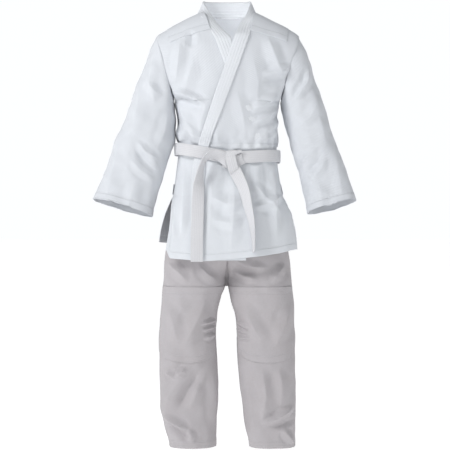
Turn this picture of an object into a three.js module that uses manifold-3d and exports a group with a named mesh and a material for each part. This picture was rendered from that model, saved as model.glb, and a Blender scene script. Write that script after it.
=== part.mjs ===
// Martial arts uniform: wrap jacket, tied belt and trousers, shaped as they hang on a wearer.
//
// Frame: millimetres, +Z up. The uniform faces -Y, the wearer's left is +X, and the origin is the
// middle of the waist opening, level with the top of the trousers. Heights are given from there.
// Every cloth piece is a plain shell of even thickness, cut where the real pieces are sewn.

import * as THREE from "three";
import * as BufferGeometryUtils from "three/addons/utils/BufferGeometryUtils.js";
import Module from "manifold-3d";

const wasm = await Module();
wasm.setup();

// ---- Driving dimensions -------------------------------------------------------------------------

// Cloth
const clothThickness = 4; // wall of each soft panel, cloth and its loft together
const seamGap = 0.4; // gap left between two pieces that are sewn or laid together
const neighbourColumns = 24; // facets round the body, the same in every layer

// Jacket body
const waistHalfWidth = 161;
const waistFrontDepth = 105;
const waistBackDepth = 95;
const waistSquareness = 2.6; // 2 is an ellipse, more is squarer
const waistSeamHeight = 32; // where the woven top joins the plain skirt
const chestHalfWidth = 165;
const chestFrontDepth = 118;
const chestBackDepth = 105;
const chestHeight = 120;
const armpitHalfWidth = 178;
const armpitHeight = 178;
const shoulderHalfWidth = 238;
const shoulderHeight = 398;
const neckHalfWidth = 97;
const neckHeight = 473;
const neckDepth = 62;
const shoulderRound = 1.5; // how full the shoulder line is between the neck and the arm

// Collar and lapels
const collarWidth = 44;
const collarLean = 16; // how far the neck band leans in towards the neck at its top
const overLapelWaistX = -62; // outer edge of the upper lapel where it meets the waist seam
const underLapelWaistX = 75; // the same for the lapel below it
const yokeColumns = 3; // facets of the shoulder covered by each reinforcement
const yokeRows = 2;
const yokeClear = 1.4; // the reinforcement stands this much clearer where it bends over the shoulder

// Skirt
const skirtLength = 345;
const slitHeight = 130; // below the waist, where the side slits start
const slitHalfWidth = 182;
const hemHalfWidth = 230;
const hemFrontDepth = 142;
const hemBackDepth = 135;
const overEdgeX = -78; // upper front's seam with its lapel, below the belt
const underEdgeX = 60; // hidden edge of the lower front, below the belt
const slitPatchSize = 34;

// Sleeves
const armholeHalfDepth = 84;
const upperArmHalfWidth = 84;
const cuffHalfWidth = 99;
const cuffHalfDepth = 62;
const cuffCentreX = 346;
const cuffCentreHeight = -175;
const cuffForward = 45; // how far the cuff hangs in front of the shoulder
const cuffTilt = 16; // degrees that the cuff edge rises towards its outer corner
const cuffHemWidth = 26;

// Belt
const beltWidth = 40;
const beltThickness = 5;
const beltLeftHeight = -2;
const beltRightHeight = 21;
const beltKnotHeight = -12;
const knotWidth = 44;
const knotHeight = 60;
const knotDepth = 22;
const knotX = 13;
const rightTailLength = 330; // hangs on the wearer's right
const leftTailLength = 268; // hangs on the wearer's left

// Trousers
const trouserLength = 970;
const trouserWaistHalfWidth = 150;
const trouserWaistFrontDepth = 90;
const waistbandHeight = 38;
const crotchDrop = 424;
const hipHalfWidth = 204;
const hipHalfDepth = 104;
const hipAxisDrop = 330; // the legs swing about a line this far below the waist
const hipJointClear = 8; // the round cut at the hips stands this far outside the cloth in front and behind
const kneeHalfDepth = 86;
const hemLegHalfDepth = 75;
const gussetHalfWidth = 10;
const hemOuterX = 212;
const hemInnerX = 52;
const legLean = 17; // both hems hang this far towards +X
const legBackset = 24; // the hems hang this far behind the hips, so that each leg balances on its hinge
const legHemWidth = 28;
const kneePatchTop = 433;
const kneePatchBottom = 655;
const tieLoopX = 70;
const tieLoopWidth = 14;
const tieLoopHeight = 26;

// ---- Dependent dimensions -----------------------------------------------------------------------

const layerStep = clothThickness + seamGap;
const beltLift = layerStep + (clothThickness + beltThickness) / 2 + seamGap;
const waistZone = beltWidth / 2 + 32; // the body is straight behind the belt
const hipJointRadius = hipHalfDepth + hipJointClear;
const cutReach = 700; // longer than anything that an outline cuts through

const white = { color: 0xe9edf3, roughness: 0.92 };
const trouserWhite = { color: 0xe7e3e8, roughness: 0.93 };
const beltWhite = { color: 0xdedad6, roughness: 0.88 };

// ---- Small helpers ------------------------------------------------------------------------------

const { lerp, smoothstep, degToRad } = THREE.MathUtils;

// A straight-sided function of height through a few [height, value] points, listed downwards.
function profile(points) {
  return (z) => {
    const next = points.findIndex(([height]) => height <= z);
    if (next === 0) return points[0][1];
    if (next < 0) return points[points.length - 1][1];
    const [z0, value0] = points[next - 1];
    const [z1, value1] = points[next];
    return lerp(value0, value1, (z - z0) / (z1 - z0));
  };
}

// A point of a squared ellipse: turn 0 is the -X side, 0.25 the front, 0.5 the +X side, 0.75 the back.
function ringPoint(turn, halfWidth, frontDepth, backDepth, squareness) {
  const angle = 2 * Math.PI * turn;
  const across = Math.cos(angle);
  const along = Math.sin(angle);
  const power = 2 / squareness;
  const x = -halfWidth * Math.sign(across) * Math.abs(across) ** power;
  const depth = Math.abs(along) ** power;
  return new THREE.Vector3(x, along > 0 ? -frontDepth * depth : backDepth * depth, 0);
}

// A smooth surface through several rings, each a function from turn to point, listed upwards.
function loft(rings) {
  return (turn, level) => {
    const curve = new THREE.CatmullRomCurve3(rings.map((ring) => ring(turn)), false, "centripetal");
    return curve.getPoint(THREE.MathUtils.clamp(level, 0, 1));
  };
}

const evenShares = (count) => Array.from({ length: count + 1 }, (_, i) => i / count);

function surfaceNormal(surface, u, v) {
  const step = 1e-3;
  const v0 = Math.max(v - step, 0);
  const v1 = Math.min(v + step, 1);
  const alongU = surface(u + step, v).sub(surface(u - step, v));
  const alongV = surface(u, v1).sub(surface(u, v0));
  return alongU.cross(alongV).normalize();
}

// A closed shell of even thickness on part of a surface. Its faces point outwards when v runs up.
// The rows are a count, or a list of shares of the height.
function clothShell(surface, area, columns, rowShares, options = {}) {
  const { lift = 0, thickness = clothThickness, ring = false } = options;
  const [u0, u1, v0, v1] = area;
  const shares = Array.isArray(rowShares) ? rowShares : evenShares(rowShares);
  const rows = shares.length - 1;
  const columnCount = ring ? columns : columns + 1;
  const points = [];
  for (const side of [1, -1]) {
    for (let j = 0; j <= rows; j++) {
      for (let i = 0; i < columnCount; i++) {
        const u = lerp(u0, u1, i / columns);
        const v = lerp(v0, v1, shares[j]);
        const raise = typeof lift === "function" ? lift(u) : lift;
        const normal = surfaceNormal(surface, u, v);
        points.push(surface(u, v).addScaledVector(normal, raise + (side * thickness) / 2));
      }
    }
  }
  const layerSize = columnCount * (rows + 1);
  const at = (layer, i, j) => layer * layerSize + j * columnCount + (ring ? i % columns : i);
  const triangles = [];
  const quad = (a, b, c, d) => triangles.push(a, b, c, a, c, d);
  for (let j = 0; j < rows; j++) {
    for (let i = 0; i < columns; i++) {
      quad(at(0, i, j), at(0, i + 1, j), at(0, i + 1, j + 1), at(0, i, j + 1));
      quad(at(1, i, j), at(1, i, j + 1), at(1, i + 1, j + 1), at(1, i + 1, j));
    }
  }
  for (let i = 0; i < columns; i++) {
    quad(at(1, i, 0), at(1, i + 1, 0), at(0, i + 1, 0), at(0, i, 0));
    quad(at(0, i, rows), at(0, i + 1, rows), at(1, i + 1, rows), at(1, i, rows));
  }
  for (let j = 0; j < rows && !ring; j++) {
    quad(at(0, 0, j), at(0, 0, j + 1), at(1, 0, j + 1), at(1, 0, j));
    quad(at(1, columns, j), at(1, columns, j + 1), at(0, columns, j + 1), at(0, columns, j));
  }
  const geometry = new THREE.BufferGeometry();
  const numbers = points.flatMap((point) => point.toArray());
  geometry.setAttribute("position", new THREE.Float32BufferAttribute(numbers, 3));
  geometry.setIndex(triangles);
  return geometry;
}

// The same piece on the other side of the body.
function mirrored(geometry) {
  const copy = geometry.clone().scale(-1, 1, 1);
  const index = copy.getIndex();
  for (let i = 0; i < index.count; i += 3) {
    const first = index.getX(i);
    index.setX(i, index.getX(i + 1));
    index.setX(i + 1, first);
  }
  return copy;
}

// ---- Solids that cut --------------------------------------------------------------------------

function toSolid(geometry) {
  const plain = geometry.clone();
  plain.deleteAttribute("normal");
  plain.deleteAttribute("uv");
  const merged = BufferGeometryUtils.mergeVertices(plain, 1e-5);
  const vertProperties = new Float32Array(merged.attributes.position.array);
  const triVerts = new Uint32Array(merged.index.array);
  return new wasm.Manifold(new wasm.Mesh({ numProp: 3, vertProperties, triVerts }));
}

function toGeometry(solid) {
  const mesh = solid.getMesh();
  const geometry = new THREE.BufferGeometry();
  geometry.setAttribute("position", new THREE.Float32BufferAttribute(mesh.vertProperties, 3));
  geometry.setIndex(new THREE.Uint32BufferAttribute(mesh.triVerts, 1));
  return geometry;
}

// A block in front of (or behind) the body whose outline is drawn as [x, height] points.
function outlineBlock(points, facing = "front") {
  const shape = new THREE.Shape(points.map(([x, z]) => new THREE.Vector2(x, z)));
  const block = new THREE.ExtrudeGeometry(shape, { depth: cutReach, bevelEnabled: false });
  block.rotateX(Math.PI / 2);
  if (facing === "back") block.translate(0, cutReach, 0);
  return toSolid(block);
}

// An upright block with an oval plan, for the neck opening.
function ovalBlock(halfWidth, halfDepth, low, high) {
  const block = new THREE.CylinderGeometry(1, 1, high - low, 24);
  block.rotateX(Math.PI / 2);
  block.scale(halfWidth, halfDepth, 1);
  block.translate(0, 0, (low + high) / 2);
  return toSolid(block);
}

// A round bar along X, for the armholes and the hip joint.
function crossBar(radiusY, radiusZ, x0, x1, y, z, sides = 24) {
  const bar = new THREE.CylinderGeometry(1, 1, x1 - x0, sides);
  bar.rotateZ(Math.PI / 2);
  bar.scale(1, radiusY, radiusZ);
  bar.translate((x0 + x1) / 2, y, z);
  return toSolid(bar);
}

// ---- Jacket body --------------------------------------------------------------------------------

// A ring of the jacket: its sides are at sideZ, and it climbs to centreZ at the middle of the body.
function bodyRing({ side, sideZ, front, back, centreZ = sideZ, squareness = waistSquareness }) {
  return (turn) => {
    const point = ringPoint(turn, side, front, back, squareness);
    const inward = 1 - Math.abs(point.x) / side;
    point.z = lerp(sideZ, centreZ, 1 - (1 - inward) ** shoulderRound);
    return point;
  };
}

const waistRing = { side: waistHalfWidth, front: waistFrontDepth, back: waistBackDepth };
const midArmhole = (armpitHeight + shoulderHeight) / 2;
const midArmholeHalfWidth = (armpitHalfWidth + shoulderHalfWidth) / 2;
// The shoulder line passes the neck point: this is where it would end at the middle of the body.
const neckInward = 1 - neckHalfWidth / shoulderHalfWidth;
const neckRise = 1 - (1 - neckInward) ** shoulderRound;
const ridgeHeight = shoulderHeight + (neckHeight - shoulderHeight) / neckRise;

const topSurface = loft([
  bodyRing({ ...waistRing, sideZ: waistSeamHeight - 4 }),
  bodyRing({
    side: (waistHalfWidth + chestHalfWidth) / 2 + 3,
    sideZ: (waistSeamHeight + chestHeight) / 2,
    front: (waistFrontDepth + chestFrontDepth) / 2,
    back: (waistBackDepth + chestBackDepth) / 2,
  }),
  bodyRing({
    side: chestHalfWidth,
    sideZ: chestHeight,
    front: chestFrontDepth,
    back: chestBackDepth,
    squareness: 3,
  }),
  bodyRing({
    side: armpitHalfWidth,
    sideZ: armpitHeight,
    front: chestFrontDepth + 2,
    back: chestBackDepth + 3,
    squareness: 3.8,
  }),
  bodyRing({
    side: midArmholeHalfWidth,
    sideZ: midArmhole,
    front: chestFrontDepth - 4,
    back: chestBackDepth + 1,
    centreZ: midArmhole + 22,
    squareness: 5,
  }),
  bodyRing({
    side: lerp(midArmholeHalfWidth, shoulderHalfWidth, 0.66),
    sideZ: lerp(midArmhole, shoulderHeight, 0.66),
    front: chestFrontDepth - 36,
    back: chestBackDepth - 26,
    centreZ: neckHeight - 22,
    squareness: 4,
  }),
  bodyRing({
    side: shoulderHalfWidth,
    sideZ: shoulderHeight,
    front: seamGap / 2,
    back: seamGap / 2,
    centreZ: ridgeHeight,
  }),
]);
// One row of facets to each ring, and two where the shoulders round over.
const topShares = [0, 1, 2, 3, 4, 4.5, 5, 5.5, 6].map((ring) => ring / 6);
const shoulderRowShare = topShares.at(-1) - topShares.at(-2);

// Rings of the skirt: height, half width, depth in front and depth behind.
const midSkirtHalfWidth = (slitHalfWidth + hemHalfWidth) / 2 + 11;
const slitFrontDepth = (waistFrontDepth + hemFrontDepth) / 2 - 3;
const slitBackDepth = (waistBackDepth + hemBackDepth) / 2 - 3;
const skirtRings = [
  [-skirtLength, hemHalfWidth, hemFrontDepth, hemBackDepth],
  [-(slitHeight + skirtLength) / 2, midSkirtHalfWidth, hemFrontDepth - 10, hemBackDepth - 10],
  [-slitHeight, slitHalfWidth, slitFrontDepth, slitBackDepth],
  [-waistZone, waistHalfWidth, waistFrontDepth, waistBackDepth],
  [waistSeamHeight, waistHalfWidth, waistFrontDepth, waistBackDepth],
];
const skirtSide = profile(skirtRings.map(([z, side]) => [z, side]).reverse());
const skirtFront = profile(skirtRings.map(([z, , front]) => [z, front]).reverse());
const skirtBack = profile(skirtRings.map(([z, , , back]) => [z, back]).reverse());

// Shares of the height between two heights that put a row of facets on each ring between them.
function skirtShares(low, high) {
  const between = skirtRings.map(([z]) => z).filter((z) => z > low + 1 && z < high - 1);
  const heights = [low, ...between, high];
  return heights.map((z) => (z - low) / (high - low));
}

// The skirt between two heights.
function skirtSurface(low, high) {
  return (turn, v) => {
    const z = lerp(low, high, v);
    const point = ringPoint(turn, skirtSide(z), skirtFront(z), skirtBack(z), waistSquareness);
    return point.setZ(z);
  };
}

// The upper front lies one layer out and comes back to the side seam over a few facets.
const overTaper = 3 / neighbourColumns;
const overLift = (turn) => layerStep * smoothstep(0.5 - turn, 0, overTaper);

// ---- Jacket pieces --------------------------------------------------------------------------------

const armholeCentreX = midArmholeHalfWidth;
const armholeHalfHeight = (shoulderHeight - armpitHeight) / 2;
const armholeRimWidth = 16; // cloth left between the armhole and the shoulder line or the side seam
const armholes = [-1, 1].map((side) => {
  const inner = side * (armholeCentreX - 90);
  const outer = side * (armholeCentreX + 90);
  const radiusY = armholeHalfDepth - armholeRimWidth;
  const radiusZ = armholeHalfHeight - armholeRimWidth * 1.5;
  return crossBar(radiusY, radiusZ, Math.min(inner, outer), Math.max(inner, outer), 0, midArmhole);
});
const neckHoleHalfWidth = neckHalfWidth - 6;
const neckHole = ovalBlock(neckHoleHalfWidth, neckDepth, armpitHeight, ridgeHeight + 60);
const bodyOpenings = armholes[0].add(armholes[1]).add(neckHole);

const frontArea = [0, 0.5, 0, 1];
const backArea = [0.5, 1, 0, 1];
const halfColumns = neighbourColumns / 2;

const underTop = toSolid(clothShell(topSurface, frontArea, halfColumns, topShares));
const overTop = toSolid(clothShell(topSurface, frontArea, halfColumns, topShares, { lift: overLift }));

// Outer edge of a lapel: a straight line from the neck point to the waist seam.
const lapelEdge = (waistX, neckX) => (z) =>
  lerp(waistX, neckX, (z - waistSeamHeight) / (neckHeight - waistSeamHeight));
const overEdge = lapelEdge(overLapelWaistX, neckHalfWidth);
const underEdge = lapelEdge(underLapelWaistX, -neckHalfWidth);
const slant = (edge) => Math.hypot(1, (edge(1) - edge(0)));
const overLapelReach = collarWidth * slant(overEdge);
const underLapelReach = collarWidth * slant(underEdge);
const above = ridgeHeight + 60;
const below = waistSeamHeight + seamGap;

function stripBetween(edge, from, to) {
  return outlineBlock([
    [edge(below) + from, below],
    [edge(below) + to, below],
    [edge(above) + to, above],
    [edge(above) + from, above],
  ]);
}

const jacketFrontLeft = overTop.intersect(stripBetween(overEdge, 0, cutReach)).subtract(bodyOpenings);
const overLapel = stripBetween(overEdge, -overLapelReach, -seamGap);
const lapelLeft = overTop.intersect(overLapel).subtract(bodyOpenings);
const jacketFrontRight = underTop.intersect(stripBetween(underEdge, -cutReach, 0)).subtract(bodyOpenings);
const underLapel = stripBetween(underEdge, seamGap, underLapelReach);
const lapelRight = underTop.intersect(underLapel).subtract(bodyOpenings);
const behind = outlineBlock([
  [-cutReach, below],
  [cutReach, below],
  [cutReach, above],
  [-cutReach, above],
], "back").translate([0, seamGap, 0]);
const backShell = toSolid(clothShell(topSurface, backArea, halfColumns, topShares));
const jacketBack = backShell.intersect(behind).subtract(bodyOpenings);

// The shoulder reinforcement runs over the shoulder line, from front to back, on the same facets.
function shoulderYoke(firstColumn, lift) {
  const surface = (u, v) => {
    const turn = lerp(firstColumn, firstColumn + yokeColumns, u) / neighbourColumns;
    const drop = Math.abs(v - 0.5) * 2 * yokeRows * shoulderRowShare;
    return topSurface(v < 0.5 ? turn : 1 - turn, 1 - drop);
  };
  return clothShell(surface, [0, 1, 0, 1], yokeColumns, 2 * yokeRows, { lift: lift + yokeClear });
}
const yokeRight = shoulderYoke(1, layerStep);
const yokeLeft = shoulderYoke(halfColumns - 1 - yokeColumns, 2 * layerStep);

// The neck band stands inside the neckline, round the back of the neck, and leans in at its top.
const bandSunk = 12; // how far its sewn edge reaches below the neckline
const bandInset = seamGap + clothThickness / 2;
function bandSurface(u, v) {
  const width = neckHoleHalfWidth - bandInset - collarLean * v;
  const depth = neckDepth - bandInset - (collarLean / 2) * v;
  const z = neckHeight - bandSunk + (collarWidth + bandSunk) * v;
  return ringPoint(lerp(0.5, 1, u), width, depth, depth, 2).setZ(z);
}
const neckBand = clothShell(bandSurface, [0, 1, 0, 1], 12, 1);

// Skirt: the two fronts hang from the belt, the back is cut at the slits into a fixed part and a flap.
const frontSkirt = skirtSurface(-skirtLength, waistSeamHeight);
const frontShares = skirtShares(-skirtLength, waistSeamHeight);
const underSkirt = toSolid(clothShell(frontSkirt, frontArea, halfColumns, frontShares));
const overSkirt = toSolid(clothShell(frontSkirt, frontArea, halfColumns, frontShares, { lift: overLift }));
const hemRise = 30; // the upper front's hem climbs this much towards the wearer's left
const skirtTop = waistSeamHeight + 10;
const skirtBottom = -skirtLength - 10;
const slitEdge = [
  [cutReach, skirtTop],
  [cutReach, -slitHeight + seamGap],
  [slitHalfWidth + 2, -slitHeight],
  [slitHalfWidth + 36, -slitHeight - 73],
  [hemHalfWidth - 2, -skirtLength + hemRise],
];
const skirtFrontLeft = overSkirt.intersect(outlineBlock([
  [overEdgeX, skirtTop],
  [overEdgeX, -skirtLength],
  ...slitEdge.slice().reverse(),
]));
const lapelSkirt = overSkirt.intersect(outlineBlock([
  [overEdgeX - collarWidth, skirtTop],
  [overEdgeX - collarWidth, skirtBottom],
  [overEdgeX - seamGap, skirtBottom],
  [overEdgeX - seamGap, skirtTop],
]));
const skirtFrontRight = underSkirt.intersect(outlineBlock([
  [-cutReach, skirtTop],
  [-cutReach, -slitHeight + seamGap],
  [-slitHalfWidth, -slitHeight],
  [-slitHalfWidth - 6, skirtBottom],
  [underEdgeX, skirtBottom],
  [underEdgeX, skirtTop],
]));
function backSkirt(low, high) {
  const area = [0.501, 0.999, 0, 1];
  return clothShell(skirtSurface(low, high), area, halfColumns, skirtShares(low, high));
}
const skirtBackPiece = backSkirt(-slitHeight, waistSeamHeight);
const backFlap = backSkirt(-skirtLength + hemRise, -slitHeight - 2 * seamGap);

// A square of cloth sewn over the top of each side slit, behind the side seam.
function slitPatch() {
  const low = -slitHeight + seamGap;
  const surface = skirtSurface(low, low + slitPatchSize);
  return clothShell(surface, [1 - 2 / neighbourColumns, 1 - 0.002, 0, 1], 2, 1, { lift: layerStep });
}

// ---- Sleeves --------------------------------------------------------------------------------------

const armholeLean = Math.atan2(shoulderHeight - armpitHeight, shoulderHalfWidth - armpitHalfWidth);
const armholeReach = Math.hypot(shoulderHeight - armpitHeight, shoulderHalfWidth - armpitHalfWidth) / 2;
const sleeveStart = 1.9 + clothThickness / 2; // clear of the body's side wall

// The wearer's right sleeve: v 0 is the cuff, v 1 the armhole, and turn 0 the outer edge.
function sleeveSurface(turn, v) {
  const down = 1 - v;
  const settle = smoothstep(down, 0, 0.42);
  const tilt = lerp(armholeLean, degToRad(cuffTilt), settle);
  const width = lerp(lerp(armholeReach, upperArmHalfWidth, settle), cuffHalfWidth, smoothstep(down, 0.35, 1));
  const depth = lerp(armholeHalfDepth, cuffHalfDepth, down);
  const ring = ringPoint(turn, width, depth, depth, 2.4);
  const centreX = -lerp(armholeCentreX + sleeveStart, cuffCentreX, down);
  const centreZ = lerp(midArmhole, cuffCentreHeight, down);
  const forward = -cuffForward * down ** 1.3;
  const x = centreX + ring.x * Math.cos(tilt);
  return new THREE.Vector3(x, ring.y + forward, centreZ - ring.x * Math.sin(tilt));
}

const sleeveLength = Math.hypot(cuffCentreX - armholeCentreX, midArmhole - cuffCentreHeight);
const cuffShare = cuffHemWidth / sleeveLength;
const seamShare = seamGap / sleeveLength;
const sleeveRows = 7;
const sleeveColumns = 8;
const sleeveHalf = (from) => {
  const area = [from + 0.001, from + 0.499, cuffShare + seamShare, 1];
  return clothShell(sleeveSurface, area, sleeveColumns, sleeveRows);
};
const sleeveFront = sleeveHalf(0);
const sleeveBack = sleeveHalf(0.5);
const cuffHem = clothShell(sleeveSurface, [0, 1, 0, cuffShare], 2 * sleeveColumns, 1, { ring: true });

// ---- Belt -----------------------------------------------------------------------------------------

// Height of the belt's middle at a turn: highest on the wearer's right, lowest at the knot.
function beltHeight(turn) {
  const t = (turn + 1) % 1;
  if (t < 0.25) return lerp(beltRightHeight, beltKnotHeight, t / 0.25);
  if (t < 0.5) return lerp(beltKnotHeight, beltLeftHeight, (t - 0.25) / 0.25);
  return lerp(beltLeftHeight, beltRightHeight, (t - 0.5) / 0.5);
}
function beltSurface(turn, v) {
  const point = ringPoint(turn, waistHalfWidth, waistFrontDepth, waistBackDepth, waistSquareness);
  return point.setZ(beltHeight(turn) + beltWidth * (v - 0.5));
}
const beltInset = 0.0001; // of a turn, left open at each side where two lengths of the belt meet
const beltOptions = { lift: beltLift, thickness: beltThickness };
const knotClear = knotWidth / 2 + seamGap;
const knotCut = outlineBlock([
  [knotX - knotClear, -200],
  [knotX + knotClear, -200],
  [knotX + knotClear, 200],
  [knotX - knotClear, 200],
]);
function beltFront(firstColumn, lastColumn) {
  const first = firstColumn / neighbourColumns + beltInset;
  const last = lastColumn / neighbourColumns - beltInset;
  const strip = clothShell(beltSurface, [first, last, 0, 1], lastColumn - firstColumn, 1, beltOptions);
  return toSolid(strip).subtract(knotCut);
}
const beltFrontRight = beltFront(0, halfColumns / 2);
const beltFrontLeft = beltFront(halfColumns / 2, halfColumns);
const beltBack = clothShell(beltSurface, [0.5 + beltInset, 1 - beltInset, 0, 1], halfColumns, 1, beltOptions);

const beltFaceY = -(waistFrontDepth + beltLift + beltThickness / 2);
function roundedBlock(width, height, depth, radius) {
  const shape = new THREE.Shape();
  const w = width / 2 - radius;
  const h = height / 2 - radius;
  shape.absarc(w, h, radius, 0, Math.PI / 2);
  shape.absarc(-w, h, radius, Math.PI / 2, Math.PI);
  shape.absarc(-w, -h, radius, Math.PI, 1.5 * Math.PI);
  shape.absarc(w, -h, radius, 1.5 * Math.PI, 2 * Math.PI);
  const block = new THREE.ExtrudeGeometry(shape, { depth, bevelEnabled: false, curveSegments: 2 });
  return block.rotateX(Math.PI / 2);
}
const knotBackY = -(waistFrontDepth + layerStep + clothThickness / 2 + 2 * seamGap);
const beltKnot = roundedBlock(knotWidth, knotHeight, knotDepth, 12);
beltKnot.translate(knotX, knotBackY, beltKnotHeight - 8);

// A flat strap along a route, turned about its own length towards the lower end.
function strap(route, twist) {
  const curve = new THREE.CatmullRomCurve3(route.map(([x, y, z]) => new THREE.Vector3(x, y, z)));
  const surface = (u, v) => {
    const point = curve.getPointAt(THREE.MathUtils.clamp(1 - v, 0, 1));
    const tangent = curve.getTangentAt(THREE.MathUtils.clamp(1 - v, 0, 1));
    const turned = degToRad(twist) * smoothstep(1 - v, 0.2, 1);
    const forward = new THREE.Vector3(0, -1, 0).applyAxisAngle(tangent, turned);
    const across = new THREE.Vector3().crossVectors(tangent, forward).normalize();
    return point.addScaledVector(across, beltWidth * (u - 0.5));
  };
  return clothShell(surface, [0, 1, 0, 1], 1, 12, { thickness: beltThickness });
}

// The straps lie just outside the skirt as it widens towards the hem.
const strapClear = layerStep + clothThickness / 2 + beltThickness / 2 + 3;
const strapY = (z) => -(skirtFront(z) + strapClear);
const bendX = -80;
const bendY = beltFaceY - beltThickness / 2 - seamGap;
const rightTailTop = -34;
const rightTailEnd = rightTailTop - rightTailLength;
const rightTailLow = rightTailTop - rightTailLength * 0.75;
const rightTailRoute = [
  [bendX, bendY - 1, rightTailTop],
  [bendX - 9, strapY(-100), -100],
  [bendX - 15, strapY(-180), -180],
  [bendX - 18, strapY(rightTailLow), rightTailLow],
  [bendX - 19, strapY(rightTailEnd), rightTailEnd],
];
const leftTailTop = beltKnotHeight - 8 - knotHeight / 2 - 0.5;
const leftTailEnd = leftTailTop - leftTailLength;
const leftTailTurn = 68; // degrees, so that it hangs nearly edge-on
const turnedClear = 24; // the turned end stands this much further off the skirt
const leftTailRoute = [
  [knotX + 15, knotBackY - knotDepth / 2, leftTailTop],
  [knotX + 18, knotBackY - knotDepth / 2 - 3, -80],
  [knotX + 36, strapY(-130) - turnedClear / 3, -130],
  [knotX + 54, strapY(-190) - turnedClear * 0.75, -190],
  [knotX + 65, strapY(-250) - turnedClear, -250],
  [knotX + 68, strapY(leftTailEnd) - turnedClear, leftTailEnd],
];
const tailRight = strap(rightTailRoute, 0);
const tailLeft = strap(leftTailRoute, leftTailTurn);

// The end that leaves the knot sideways before it falls.
const bendWidth = knotX - knotClear - (bendX - beltWidth / 2);
const bendCentreX = (knotX - knotClear + bendX - beltWidth / 2) / 2;
const bendLow = rightTailTop + 2.5;
const bendHeight = beltWidth + 6;
const tailBend = roundedBlock(bendWidth, bendHeight, beltThickness, 10);
tailBend.translate(bendCentreX, bendY, bendLow + bendHeight / 2);

// ---- Trousers -------------------------------------------------------------------------------------

const legOuter = profile([
  [0, trouserWaistHalfWidth],
  [-waistbandHeight, trouserWaistHalfWidth],
  [-120, trouserWaistHalfWidth + 6],
  [-200, trouserWaistHalfWidth + 22],
  [-hipAxisDrop, hipHalfWidth],
  [-crotchDrop - 33, hipHalfWidth + 13],
  [-583, hipHalfWidth + 24],
  [-830, hipHalfWidth + 25],
  [-trouserLength, hemOuterX],
]);
const legInner = profile([
  [-crotchDrop, gussetHalfWidth + clothThickness / 2 + seamGap],
  [-crotchDrop - 33, gussetHalfWidth + 6],
  [-583, gussetHalfWidth + 23],
  [-667, gussetHalfWidth + 23],
  [-830, gussetHalfWidth + 31],
  [-trouserLength, hemInnerX],
]);
const trouserFront = profile([
  [0, trouserWaistFrontDepth],
  [-waistZone, trouserWaistFrontDepth],
  [-120, hipHalfDepth - 7],
  [-200, hipHalfDepth - 1],
  [-hipAxisDrop, hipHalfDepth],
  [-crotchDrop - 33, hipHalfDepth - 9],
  [-583, kneeHalfDepth + 2],
  [-667, kneeHalfDepth - 2],
  [-830, kneeHalfDepth - 6],
  [-trouserLength, hemLegHalfDepth],
]);
// The waistband's back touches the inside of the jacket's back.
const trouserWaistBackDepth = waistBackDepth - clothThickness - seamGap;
const waistDepthStep = trouserWaistBackDepth - trouserWaistFrontDepth;
const trouserBack = (z) => trouserFront(z) + waistDepthStep * smoothstep(z, -200, 0);

function hipSurface(low, high) {
  return (turn, v) => {
    const z = lerp(low, high, v);
    return ringPoint(turn, legOuter(z), trouserFront(z), trouserBack(z), waistSquareness).setZ(z);
  };
}
const waistbandArea = (from) => [from + 0.001, from + 0.499, 0, 1];
const waistbandFront = clothShell(hipSurface(-waistbandHeight, 0), waistbandArea(0), halfColumns, 1);
const waistbandBack = clothShell(hipSurface(-waistbandHeight, 0), waistbandArea(0.5), halfColumns, 1);
// A fabric loop under the waistband that the drawstring ties through.
function tieLoop(x) {
  const loop = roundedBlock(tieLoopWidth, tieLoopHeight, 3, 4);
  const nearX = Math.abs(x) - tieLoopWidth / 2;
  const bandShare = (1 - (nearX / trouserWaistHalfWidth) ** waistSquareness) ** (1 / waistSquareness);
  const y = -trouserWaistFrontDepth * bandShare - clothThickness / 2 - seamGap;
  return loop.translate(x, y, -waistbandHeight - 10);
}

// The seat and the legs meet on a round bar about the hip line, so that the legs can swing.
const hipBarSides = 96; // enough that its corners clear the seat's as the legs turn
const hipBar = (radius) => crossBar(radius, radius, -cutReach, cutReach, 0, -hipAxisDrop, hipBarSides);
const seatBar = hipBar(hipJointRadius);
const seatHeights = [-hipAxisDrop, -265, -200, -120, -waistZone, -waistbandHeight - seamGap];
const seatHeight = seatHeights.at(-1) - seatHeights[0];
const seatShares = seatHeights.map((z) => (z - seatHeights[0]) / seatHeight);
const seatSurface = hipSurface(seatHeights[0], seatHeights.at(-1));
const seatPiece = (from) =>
  toSolid(clothShell(seatSurface, waistbandArea(from), halfColumns, seatShares)).subtract(seatBar);
const seatFront = seatPiece(0);
const seatBack = seatPiece(0.5);

// The wearer's right leg. Above the crotch it is half of the hips, below it is a tube of its own.
const legTop = -hipAxisDrop + hipJointRadius;
const legSquareness = 2.3;
function legSurface(facing, low, high) {
  const side = facing === "front" ? 1 : -1;
  const seamX = gussetHalfWidth + clothThickness / 2 + seamGap;
  return (u, v) => {
    const z = lerp(low, high, v);
    const outer = legOuter(z);
    const depths = [trouserFront(z), trouserBack(z)];
    const share = side * (facing === "front" ? u : 1 - u);
    const seamAngle = Math.asin((seamX / outer) ** (waistSquareness / 2));
    const centreTurn = 0.25 * (1 - (2 / Math.PI) * seamAngle);
    const hip = ringPoint(share * centreTurn, outer, ...depths, waistSquareness);
    const leg = ringPoint(share / 2, (outer - legInner(z)) / 2, ...depths, legSquareness);
    leg.x -= (outer + legInner(z)) / 2;
    const split = smoothstep(z, -crotchDrop - 12, -hipAxisDrop);
    const point = leg.lerp(hip, split);
    return point.setZ(z);
  };
}
const leanShift = (z) => legLean * (1 - smoothstep(z, -trouserLength, -700));
const backShift = (z) => legBackset * (1 - smoothstep(z, -trouserLength, -crotchDrop));
// Both legs lean the same way; a leg that is mirrored afterwards leans the other way first.
const leaning = (surface, side) => (u, v) => {
  const point = surface(u, v);
  point.x -= side * leanShift(point.z);
  point.y += backShift(point.z);
  return point;
};

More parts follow.
